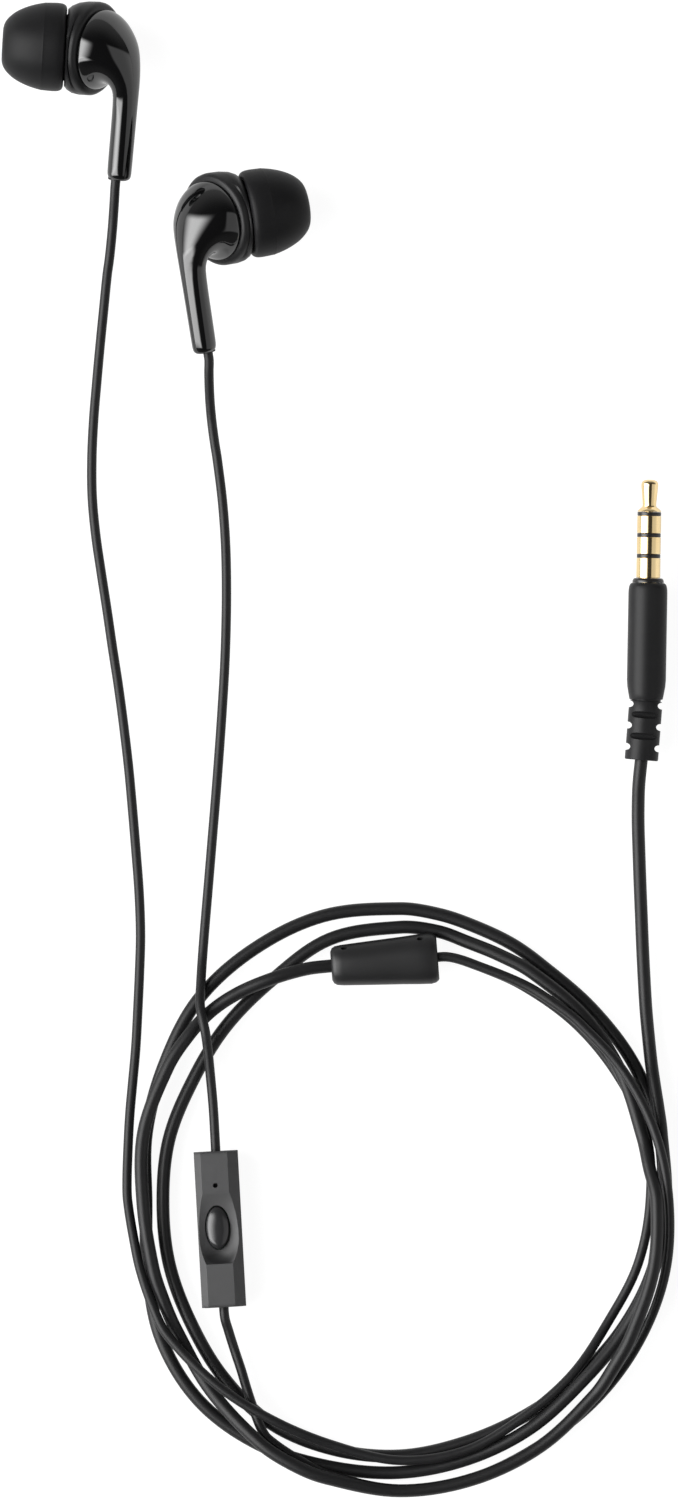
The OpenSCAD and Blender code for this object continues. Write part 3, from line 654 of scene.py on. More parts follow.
@dataclass
class Studio:
    """The pale surface, the soft panels round it and the camera straight above.

    Attributes:
        centre: the point below the camera.
        field: the width that the camera sees there.
        distance: its height above it.
        sensor: the width of its sensor.
        clip: the nearest and the farthest that it sees, in metres.
        floor_size: the surface's width.
        floor_drop: how far it lies below the part, so that a tip slides off clear of it.
        matt: how pale the surface is to soft light.
        seen: how pale it is to the camera, besides its glow.
        glow: its glow for the camera.
        mirrored: how much of that glossy pieces mirror, near the part.
        fade: distances from the centre where that starts to fade and is done, in metres.
        faded: what part of it is left there.
        zenith: light from everywhere.
        room: light from low down.
        room_rise: where that light sets in and is full, in degrees from overhead.
        panels: the soft panels.
    """

    centre: Pair = (26.40, -82.98)
    field: float = 217.39
    distance: float = 4000.0
    sensor: float = 36.0
    clip: Pair = (0.1, 100.0)
    floor_size: float = 40000.0
    floor_drop: float = 1.2
    matt: float = 0.5
    seen: float = 0.18
    glow: float = 0.93
    mirrored: float = 0.62
    fade: Pair = (0.15, 0.5)
    faded: float = 0.12
    zenith: float = 0.05
    room: float = 0.09
    room_rise: Pair = (45.0, 80.0)
    panels: tuple[Panel, ...] = (
        Panel((-94.0, -56.0, -44.0, -4.0), (-32.0, -24.0, 4.0, 20.0), 9.0, 0.3, 0.33),
        Panel((-130.0, -70.0, -69.0, -51.0), (-43.0, -37.0, -30.0, -23.0), 7.2, -1.1),
        Panel((26.0, 33.0, 110.0, 120.0), (-46.0, -40.0, 17.0, 23.0), 0.75),
        Panel((60.0, 95.0, 110.0, 120.0), (-60.0, -48.0, 10.0, 25.0), 0.4),
        Panel((-110.0, -90.0, 90.0, 110.0), (24.0, 100.0, 130.0, 140.0), 0.42))

    def camera(self) -> None:
        """Makes the long-lens camera that looks straight down."""
        bpy.ops.object.select_all(action="DESELECT")
        bpy.ops.object.camera_add(location=Vector((*self.centre, self.distance)) * MM,
                                  rotation=(0, 0, 0))
        camera = bpy.context.object
        camera.name = "camera"
        camera.data.sensor_width = self.sensor
        camera.data.lens = self.sensor * self.distance / self.field
        camera.data.clip_start, camera.data.clip_end = self.clip
        bpy.context.scene.camera = camera

    def floor(self) -> None:
        """Makes the white surface, which keeps the object's soft shadow."""
        bpy.ops.object.select_all(action="DESELECT")
        bpy.ops.mesh.primitive_plane_add(size=self.floor_size * MM,
                                         location=(0.0, 0.0, -self.floor_drop * MM))
        bpy.ops.object.transform_apply(location=True, rotation=False, scale=False)
        plane = bpy.context.object
        plane.name = "floor"
        material = bpy.data.materials.new("white_surface")
        material.use_nodes = True
        material.node_tree.nodes.clear()
        kit = NodeKit(material.node_tree)
        matt, shaded = (kit.add("ShaderNodeBsdfDiffuse", {"Color": (grey, grey, grey, 1.0)})
                        for grey in (self.matt, self.seen))
        glow = kit.add("ShaderNodeEmission", {"Strength": self.glow})
        seen = kit.add("ShaderNodeAddShader", {0: shaded.outputs[0], 1: glow.outputs[0]})
        reach = kit.add("ShaderNodeVectorMath", {
            0: kit.add("ShaderNodeTexCoord").outputs["Object"],
            1: Vector((*self.centre, 0.0)) * MM}, operation="DISTANCE")
        near = kit.step(reach.outputs["Value"], *self.fade, 1.0, self.faded)
        rays = kit.add("ShaderNodeLightPath").outputs
        shiny = kit.sums("MULTIPLY", rays["Is Glossy Ray"], self.mirrored)
        share = kit.sums("MAXIMUM", rays["Is Camera Ray"], kit.sums("MULTIPLY", shiny, near))
        surface = kit.add("ShaderNodeMixShader", {0: share, 1: matt.outputs[0],
                                                  2: seen.outputs[0]})
        kit.add("ShaderNodeOutputMaterial", {"Surface": surface.outputs[0]})
        plane.data.materials.append(material)

    def world(self) -> None:
        """Makes a dark room whose soft panels stand round the surface."""
        world = bpy.data.worlds.new("studio")
        bpy.context.scene.world = world
        world.use_nodes = True
        world.node_tree.nodes.clear()
        kit = NodeKit(world.node_tree)
        sums, step = kit.sums, kit.step
        sky = kit.add("ShaderNodeTexCoord").outputs["Generated"]
        x, y, z = kit.add("ShaderNodeSeparateXYZ", {0: sky}).outputs
        squares = sums("ADD", sums("MULTIPLY", x, x), sums("MULTIPLY", y, y))
        flat = sums("MAXIMUM", sums("SQRT", squares), 0.0001)
        angle = sums("MULTIPLY", sums("ARCCOSINE", z), 180.0 / math.pi)
        share = sums("DIVIDE", angle, flat)
        across, along = sums("MULTIPLY", x, share), sums("MULTIPLY", y, share)
        total = sums("ADD", sums("MULTIPLY", step(angle, *self.room_rise), self.room),
                     self.zenith)
        for panel in self.panels:
            right = sums("ADD", across, sums("MULTIPLY", along, -panel.right_lean))
            top = sums("ADD", along, sums("MULTIPLY", across, panel.top_lean))
            glow = step(across, *panel.across[:2])
            for edge in (step(right, *panel.across[2:], 1.0, 0.0), step(along, *panel.along[:2]),
                         step(top, *panel.along[2:], 1.0, 0.0)):
                glow = sums("MULTIPLY", glow, edge)
            total = sums("ADD", total, sums("MULTIPLY", glow, panel.power))
        light = kit.add("ShaderNodeBackground", {"Strength": total})
        kit.add("ShaderNodeOutputWorld", {"Surface": light.outputs[0]})

    def build(self) -> None:
        """Makes the camera first, then the surface and the room."""
        self.camera()
        self.floor()
        self.world()
        bpy.context.scene.view_settings.view_transform = "Standard"
        LOG.info("studio ready")


# ---- cords ----


@dataclass
class CordSet:
    """The four free cords, along the same routes as the frame's tubes.

    Attributes:
        main_d: diameter of the cord from the splitter to the plug.
        lead_d: diameter of each lead to a bud.
        round_steps: steps of a quarter of a cord's section.
        knot_steps: steps between two of its points.
        splitter_out: where the main cord starts in the splitter.
        splitter_in: the two points that take a lead straight into the splitter.
        lead_heights: heights of the left lead and the right one there.
        coil: centre of the coil.
        main_turns: the main cord's stations round it, as angle, radius and height.
        left_turns: the left lead's.
        right_turns: the right lead's.
        left_drop: points of the left lead from the bud to the coil.
        right_drop: points of the right lead from the bud to the remote.
        remote_exit: points of the right lead from the remote to the coil.
        plug_run: points of the main cord from the coil to the plug.
    """

    main_d: float = 1.9
    lead_d: float = 1.4
    round_steps: int = 7
    knot_steps: int = 10
    splitter_out: Point = (27.4, -114.33, 2.6)
    splitter_in: tuple[Pair, ...] = ((42.37, -113.2), (38.98, -113.46))
    lead_heights: Pair = (1.75, 3.4)
    coil: Point = (35.3, -148.6, 0.0)
    main_turns: tuple[Point, ...] = (
        (106, 35.5, 2.6), (112, 36.3, 3.15), (120, 37.2, 3.6), (128, 38.2, 2.9), (135, 38.8, 2.4),
        (142, 38.9, 3.25), (150, 38.8, 3.5), (165, 38.4, 3.5), (180, 37.2, 3.5), (195, 37.0, 3.5),
        (203, 37.1, 2.9), (210, 37.35, 2.0), (225, 38.7, 2.5), (240, 40.4, 4.4), (248, 41.1, 4.9),
        (255, 41.4, 4.6), (270, 41.9, 2.9), (285, 41.6, 2.65), (300, 40.9, 2.65), (315, 39.8, 3.6),
        (322, 39.2, 5.0), (330, 38.7, 6.0), (345, 38.0, 6.3), (360, 37.2, 6.4), (368, 36.45, 4.7),
        (375, 36.4, 3.1), (390, 37.1, 2.8), (405, 37.8, 3.1), (420, 38.3, 2.9), (428, 38.5, 2.3),
        (435, 38.8, 1.6), (442, 39.5, 1), (450, 39.7, 1), (465, 39.3, 1), (480, 37.0, 1),
        (495, 35.7, 1), (510, 34.7, 1), (525, 34.6, 1), (540, 34.3, 1), (555, 34.6, 1),
        (570, 35.0, 1), (585, 36.1, 1), (600, 37.2, 1), (615, 37.2, 1), (630, 36.9, 1),
        (645, 36.2, 1), (660, 36.0, 1), (675, 36.4, 1), (690, 37.2, 1), (705, 38.0, 1),
        (720, 38.2, 1), (735, 38.9, 1), (750, 39.3, 1), (765, 39.4, 1), (780, 40.0, 1),
        (787, 40.7, 1), (795, 41.3, 1), (802, 41.95, 1), (810, 42.4, 1), (825, 42.8, 1),
        (840, 42.2, 1), (855, 41.3, 1), (870, 39.4, 1), (885, 38.0, 1), (900, 36.75, 1),
        (915, 37.8, 1), (930, 39.9, 1), (945, 41.0, 1), (960, 40.7, 1), (975, 39.8, 1),
        (990, 39.3, 1), (1005, 38.6, 1.5), (1020, 37.9, 2.7), (1035, 37.1, 3.5),
        (1050, 37.5, 3.4), (1065, 38.1, 3.4), (1080, 38.5, 3.4), (1095, 39.2, 3.4),
        (1100, 39.8, 3.15))
    left_turns: tuple[Point, ...] = (
        (169, 40.1, 0.75), (176, 39.6, 1.0), (180, 39.4, 1.3), (188, 38.9, 2.5), (195, 38.85, 3.2),
        (203, 38.85, 3.6), (210, 38.8, 3.9), (225, 37.5, 4.6), (240, 36.6, 4.6), (255, 36.6, 3.2),
        (270, 37.5, 2.85), (285, 37.3, 2.85), (300, 36.0, 3.1), (315, 35.4, 2.8), (330, 34.9, 1.0),
        (345, 35.7, 0.75), (360, 36.3, 0.75), (375, 37.0, 0.75), (390, 36.5, 0.75),
        (405, 36.2, 0.75), (420, 35.95, 0.8), (432, 35.95, 1.4))
    right_turns: tuple[Point, ...] = (
        (241, 39.3, 2.85), (248, 40.1, 2.9), (255, 40.9, 2.6), (270, 41.7, 0.75),
        (285, 41.4, 0.75), (300, 40.7, 0.75), (315, 40.5, 1.0), (330, 40.2, 3.0), (345, 39.8, 4.6),
        (360, 38.95, 5.3), (375, 38.3, 5.2), (390, 37.5, 4.95), (405, 36.7, 4.6), (412, 36.4, 4.3),
        (420, 36.2, 3.7), (432, 35.95, 3.45))
    left_drop: tuple[Point, ...] = (
        (-5.66, 0.99, 4.02), (-5.79, -0.46, 3.63), (-5.92, -1.85, 3.25), (-6.01, -3.45, 2.7),
        (-6.13, -5.2, 1.98), (-6.28, -7.2, 1.3), (-6.48, -9.4, 0.88), (-6.76, -12, 0.75),
        (-7.1, -14.5, 0.75), (-7.6, -19.5, 0.75), (-8.1, -24.5, 0.75), (-8.6, -30, 0.75),
        (-9.05, -35.5, 0.75), (-9.3, -41, 0.75), (-9.25, -46.5, 0.75), (-8.75, -52, 0.75),
        (-7.95, -57.5, 0.75), (-7.1, -63, 0.75), (-6.3, -68.5, 0.75), (-5.45, -74, 0.75),
        (-4.65, -80, 0.75), (-3.95, -86, 0.75), (-3.4, -92, 0.75), (-2.9, -98, 0.75),
        (-2.45, -104, 0.75), (-2.25, -110, 0.75), (-2.4, -115.5, 0.75), (-2.65, -121, 0.75),
        (-2.95, -126.5, 0.75), (-3.4, -131.5, 0.75), (-3.8, -136, 0.75))
    right_drop: tuple[Point, ...] = (
        (7.26, -24, 5.82), (7.49, -25.43, 5.43), (7.7, -26.81, 5.05), (7.68, -28.4, 4.42),
        (7.72, -30.5, 3.45), (7.84, -33, 2.3), (8.1, -35.8, 1.3), (8.5, -38.8, 0.85),
        (8.85, -41, 0.75), (9.6, -47, 0.75), (10.05, -53, 0.75), (10.2, -59, 0.75),
        (10.15, -65, 0.75), (9.95, -71, 0.75), (9.6, -77, 0.75), (9.15, -83.5, 0.75),
        (8.65, -90, 0.75), (8.15, -96, 0.75), (7.65, -102, 0.75), (7.1, -108.5, 0.75),
        (6.75, -113, 1.2), (6.5, -117, 2.6), (6.4, -120, 3.9), (6.7, -122, 4.65),
        (7.15, -124, 4.75), (7.5, -126.5, 3.9), (7.9, -130.5, 2.8), (8.3, -135, 2.55),
        (8.58, -139.9, 2.55), (8.72, -142.7, 2.55))
    remote_exit: tuple[Point, ...] = (
        (9.76, -162.1, 2.55), (9.95, -165.3, 2.55), (10.5, -167.3, 1.9), (11.4, -170.2, 1.3),
        (12.4, -173.2, 2.0), (13.3, -176.2, 2.95), (14.4, -179.4, 2.95), (15.3, -181.6, 2.9))
    plug_run: tuple[Point, ...] = (
        (72.2, -131.8, 2.6), (71.75, -128.6, 1.6), (71.4, -125.3, 1.0), (71.0, -121, 1.0),
        (70.75, -117, 1.0), (70.5, -112, 1.0), (70.3, -107, 1.0), (70.1, -102, 1.0),
        (69.95, -97.5, 1.0), (69.85, -94, 1.15), (69.85, -91, 1.7), (69.92, -88.5, 2.4),
        (70.08, -86.6, 2.85), (70.24, -85.1, 2.85), (70.31, -84.25, 2.85))

    def round_the_coil(self, turns: Sequence[Point]) -> list[Vector]:
        """Returns the points of stations given as angle, radius and height."""
        centre = Vector(self.coil)
        return [centre + Vector((r * math.cos(math.radians(a)), r * math.sin(math.radians(a)), z))
                for a, r, z in turns]

    def entry(self, height: float) -> list[Point]:
        """Returns the two points that take a lead straight into the splitter."""
        return [(x, y, height) for x, y in self.splitter_in]

    def curve(self, name: str, points: Sequence[Sequence[float]], diameter: float,
              nodes: Sequence[str]) -> tuple[Object, float]:
        """Makes one cord as a round smooth curve through its points.

        Args:
            name: the cord's name.
            points: its route in millimetres.
            diameter: its diameter in millimetres.
            nodes: the frame's tubes that it stands for.

        Returns:
            The cord and its length in metres.
        """
        route = [(ORIGIN + Vector(p)) * MM for p in points]
        data = bpy.data.curves.new(name, "CURVE")
        data.dimensions = "3D"
        data.bevel_depth = diameter * MM / 2
        data.bevel_resolution = self.round_steps
        data.resolution_u = self.knot_steps
        data.use_fill_caps = True
        spline = data.splines.new("BEZIER")
        spline.bezier_points.add(len(route) - 1)
        length = 0.0
        for k, (knot, spot) in enumerate(zip(spline.bezier_points, route)):
            before, after = route[max(k - 1, 0)], route[min(k + 1, len(route) - 1)]
            way = (after - before).normalized()
            knot.handle_left_type = knot.handle_right_type = "FREE"
            knot.co = spot
            knot.handle_left = spot - way * (spot - before).length / 3
            knot.handle_right = spot + way * (after - spot).length / 3
            length += (after - spot).length
        cord = bpy.data.objects.new(name, data)
        bpy.context.scene.collection.objects.link(cord)
        dress(cord, CORD_JACKET, Body.MAIN, nodes)
        return cord, length

    def build(self) -> dict[str, tuple[Object, float]]:
        """Makes the four cords.

        Returns:
            Each cord with its length in metres, by name.
        """
        left_in, right_in = (self.entry(height) for height in self.lead_heights)
        main, left, right = (self.round_the_coil(turns) for turns in (
            self.main_turns, self.left_turns, self.right_turns))
        routes = {
            "main_cord": ((self.splitter_out, *main, *self.plug_run), self.main_d,
                          ("main_cord_coil", "main_cord_end")),
            "left_cord": ((*self.left_drop, *left, *left_in), self.lead_d,
                          ("left_lead", "left_lead_coil")),
            "right_cord_upper": (self.right_drop, self.lead_d, ("right_lead_upper",)),
            "right_cord_lower": ((*self.remote_exit, *right, *right_in), self.lead_d,
                                 ("right_lead_coil",))}
        return {name: self.curve(name, *route) for name, route in routes.items()}

    def declare(self, cords: dict[str, tuple[Object, float]],
                ends: dict[str, Sequence[Object]]) -> None:
        """Reads each cord's exit point, width, far end and lay and the pieces on its far end, but
        keeps and declares none of them.

        Args:
            cords: the cords and their lengths.
            ends: the pieces on each cord's far end, by the cord's name.
        """
        facts = {
            "main_cord": ((25.26, -114.26, 2.6), self.main_d, "plug", "coiled"),
            "left_cord": ((-5.9, -0.22, 3.63), self.lead_d, "fitting", "loose"),
            "right_cord_upper": ((7.38, -25.19, 5.43), self.lead_d, "fitting", "loose"),
            "right_cord_lower": ((9.77, -163.65, 2.55), self.lead_d, "object", "loose")}
        for name, (leaves, width, far_end, lay) in facts.items():
            cord, length = cords[name]
            tuple(v * MM for v in leaves)
            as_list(ends.get(name, ()))


# ---- one ear bud ----


@dataclass
class EarBud:
    """One ear bud: silicone tip, satin ring, glossy rear shell with its stem, and what is inside.

    In its own frame the nozzle points to -X from the front face at x = 0.

    Attributes:
        side: which ear it is for.
        left_at: where the left bud's front face lies.
        left_heading: its turn about Z, in degrees.
        right_at: where the right bud's front face lies.
        right_heading: its turn about Z.
        right_dip: how far its nozzle points down.
        roll: the turn of both about the nozzle.
        tilt: angle of the driver housing against the nozzle, in degrees.
        sides: vertices round each ring.
        shell_sides: vertices round each ring of the rear shell.
        seam_x: where the seam of the two shells crosses the nozzle's axis.
        seam_z: how far its middle is off that axis.
        wall: the rear shell's wall.
        hollow_rows: how many of its sections have that wall.
        tip_profile: the silicone tip's profile, as radius and distance from the front face.
        ring_table: the satin ring's sections, as tilt, x, z, half height and half width.
        nozzle_profile: the nozzle's profile, outside and then inside.
        seat_profile: the driver's seat, as radius and distance from the seam.
        shell_table: the rear shell's sections: two ends as distances along the driver's axis
            and the stem, then half width and lean.
        stem_end: where the lead enters the stem.
        bore_turns: turns of its bore about Z and X.
        stem_bore: the bore's profile.
        inner_pieces: what is inside, from the frame.
    """

    side: Side
    left_at: Point = (-12.97, 18.41, 6.42)
    left_heading: float = -3.3
    right_at: Point = (12.89, -5.83, 6.82)
    right_heading: float = 9.6
    right_dip: float = 9.5
    roll: float = 12.0
    tilt: float = 32.0
    sides: int = 64
    shell_sides: int = 48
    seam_x: float = 4.73
    seam_z: float = -0.02
    wall: float = 0.6
    hollow_rows: int = 10
    tip_profile: tuple[Pair, ...] = (
        (5.15, 0.15), (5.75, 0.15), (6.1, 0.32), (6.32, 0.65), (6.42, 1.15), (6.42, 2.1),
        (6.35, 3.2), (6.365, 3.25), (6.365, 3.32), (6.335, 3.37), (6.24, 3.9), (6.04, 4.7),
        (5.76, 5.6), (5.38, 6.5), (4.9, 7.4), (4.35, 8.1), (3.75, 8.7), (3.1, 9.08), (2.4, 9.25),
        (2.05, 9.25), (1.9, 9.1), (1.9, 7.25), (2.66, 7.2), (2.66, 1.35), (3.3, 1.35), (3.3, 6.5),
        (3.6, 6.95), (4.1, 7.05), (4.5, 6.75), (4.95, 6.05), (5.35, 5.1), (5.62, 4.2),
        (5.82, 3.0), (5.82, 1.3), (5.68, 0.85), (5.4, 0.62), (5.15, 0.55))
    ring_table: tuple[tuple[float, float, float, float, float], ...] = (
        (32, 4.71, -0.033, 6.25, 6.22), (32, 4.52, -0.15, 6.6, 6.55), (32, 4.25, -0.32, 6.8, 6.72),
        (32, 3.8, -0.6, 6.85, 6.75), (22, 2.65, -0.48, 6.82, 6.35), (12, 1.45, -0.32, 6.6, 5.9),
        (5, 0.55, -0.2, 6.15, 5.7), (0, 0, -0.1, 5.62, 5.55))
    nozzle_profile: tuple[Pair, ...] = (
        (4.9, 0.02), (4.5, 0.38), (3.5, 0.85), (2.85, 1.12), (2.6, 1.2), (2.6, 1.9), (2.25, 2.25),
        (2.25, 5.85), (2.6, 6.15), (2.6, 6.65), (2.3, 7.1), (2.0, 7.1), (2.0, 6.75), (1.7, 6.75),
        (1.7, -1.0))
    seat_profile: tuple[Pair, ...] = ((4.1, -2.1), (4.1, -1.6), (5.0, -1.6), (5.0, -0.02))
    shell_table: tuple[tuple[float, float, float, float, float, float], ...] = (
        (0.02, 6, 0.02, -6, 6, 0), (0.95, 5.85, 0.5, -5.75, 5.95, 0),
        (1.9, 5.45, 0.95, -5.4, 5.75, 0), (2.9, 4.75, 1.35, -5.0, 5.45, 0),
        (3.8, 3.85, 1.7, -4.72, 5.05, 0), (4.65, 2.9, 2.05, -4.6, 4.6, 0),
        (5.4, 1.8, 2.4, -4.62, 4.1, 0), (6.0, 0.5, 2.7, -4.75, 3.55, 0),
        (6.45, -1.0, 2.95, -5.0, 3.0, 0), (6.78, -2.8, 3.12, -5.4, 2.5, -0.1),
        (6.9, -4.6, 3.25, -6.0, 2.15, -0.3), (6.88, -6.8, 3.28, -7.0, 1.92, -0.5),
        (6.68, -12, 3.1, -12, 1.82, -0.74), (6.48, -17.3, 2.9, -17.2, 1.76, -0.98),
        (6.44, -18.1, 2.93, -17.9, 1.72, -1.02), (6.3, -18.5, 3.06, -18.3, 1.55, -1.04),
        (6.0, -18.72, 3.35, -18.52, 1.25, -1.06), (5.2, -18.85, 4.15, -18.65, 0.5, -1.08))
    stem_end: Point = (8.25, -18.6, 1.1)
    bore_turns: Pair = (-1.8, -87.0)
    stem_bore: tuple[Pair, ...] = ((1.2, -2), (1.2, 3), (0.85, 3), (0.85, 14))
    inner_pieces: tuple[tuple[str, Finish], ...] = (
        ("nozzle_mesh", MESH_WIRE), ("damper", FOAM), ("driver_frame", DRIVER_FRAME),
        ("diaphragm", FILM), ("voice_coil", COPPER), ("magnet", STEEL), ("grommet", CORD_JACKET))

    @property
    def place(self) -> Matrix:
        """Where this bud lies, in millimetres."""
        base = Matrix.Translation(ORIGIN)
        if self.side is Side.LEFT:
            return (base @ shift(*self.left_at) @ turn("Z", self.left_heading)
                    @ turn("X", self.roll))
        mirror = Matrix.Scale(-1, 4, (1, 0, 0))
        return (base @ shift(*self.right_at) @ turn("Z", self.right_heading)
                @ turn("Y", self.right_dip) @ turn("X", self.roll) @ mirror)

    @property
    def along(self) -> Vector:
        """The driver's axis, from the front to the rear."""
        t = math.radians(self.tilt)
        return Vector((math.cos(t), 0, math.sin(t)))

    @property
    def over(self) -> Vector:
        """The direction across the driver's axis and the stem."""
        t = math.radians(self.tilt)
        return Vector((-math.sin(t), 0, math.cos(t)))

    @property
    def seam(self) -> Vector:
        """The middle of the seam."""
        return Vector((self.seam_x, 0, self.seam_z))

    def turned(self, shape: Modeller, profile: Sequence[Pair]) -> None:
        """Adds rings about the nozzle's axis, one for each radius and distance."""
        for radius, far in profile:
            shape.ring((-far, 0, 0), (0, radius, 0), (0, 0, radius))

    def ear_tip(self) -> Object:
        """Makes the hollow silicone dome with its sleeve, which slides off the nozzle.

        Returns:
            The silicone tip.
        """
        shape = Modeller(f"{self.side.value}_silicone_tip", self.sides, self.place)
        self.turned(shape, self.tip_profile)
        tip = shape.solid(angle=60, closed=True)
        subdivide(tip)
        body = Body.LEFT_TIP if self.side is Side.LEFT else Body.RIGHT_TIP
        return dress(tip, SILICONE, body, [f"{self.side.value}_ear_tip"])

    def front_shell(self) -> Object:
        """Makes the satin ring with the nozzle, bored through and hollow behind.

        Returns:
            The satin ring.
        """
        shape = Modeller(f"{self.side.value}_satin_ring", self.sides, self.place)
        for tilt, x, z, high, wide in self.ring_table:
            t = math.radians(tilt)
            shape.ring((x, 0, z), (0, high, 0), Vector((-math.sin(t), 0, math.cos(t))) * wide)
        self.turned(shape, self.nozzle_profile)
        for radius, back in self.seat_profile:
            shape.ring(self.seam + self.along * back, (0, radius, 0), self.over * radius)
        ring = shape.solid(angle=35, closed=True)
        return dress(ring, SATIN_RING, Body.MAIN, [f"{self.side.value}_front_shell"])

    def shell_ring(self, shape: Modeller, row: Sequence[float], wall: float) -> None:
        """Adds one section of the rear shell.

        Args:
            shape: the mesh that gets it.
            row: the section's sizes.
            wall: how far it is drawn in.
        """
        p1, q1, p2, q2, half, lean = row
        half_p, half_q = (p1 - p2) / 2, (q1 - q2) / 2
        keep = 1 - wall / math.hypot(half_p, half_q)
        centre = self.seam + self.along * ((p1 + p2) / 2) + Vector((0, (q1 + q2) / 2, lean))
        shape.ring(centre, (self.along * half_p + Vector((0, half_q, 0))) * keep,
                   self.over * (half - wall))

    def rear_shell(self) -> Object:
        """Makes the glossy comma-shaped shell, hollow over the driver and bored for the lead.

        Returns:
            The glossy shell.
        """
        shape = Modeller(f"{self.side.value}_gloss_shell", self.shell_sides, self.place)
        for row in reversed(self.shell_table):
            self.shell_ring(shape, row, 0.0)
        for row in self.shell_table[:self.hollow_rows]:
            self.shell_ring(shape, row, self.wall)
        shell = shape.solid(angle=50)
        subdivide(shell)
        about_z, about_x = self.bore_turns
        bore = Modeller("bore_tool", 40, self.place @ shift(*self.stem_end) @ turn("Z", about_z)
                        @ turn("X", about_x))
        for radius, far in self.stem_bore:
            bore.ring((0, 0, far), (radius, 0, 0), (0, radius, 0))
        cut(shell, 50, [bore.solid()])
        return dress(shell, GLOSS_SHELL, Body.MAIN,
                     [f"{self.side.value}_rear_shell"])

    def build(self) -> None:
        """Makes the three outer pieces and dresses what stays of the frame."""
        self.ear_tip()
        self.front_shell()
        self.rear_shell()
        for label, finish in self.inner_pieces:
            paint(f"{self.side.value}_{label}", finish)


# ---- the in-line remote ----


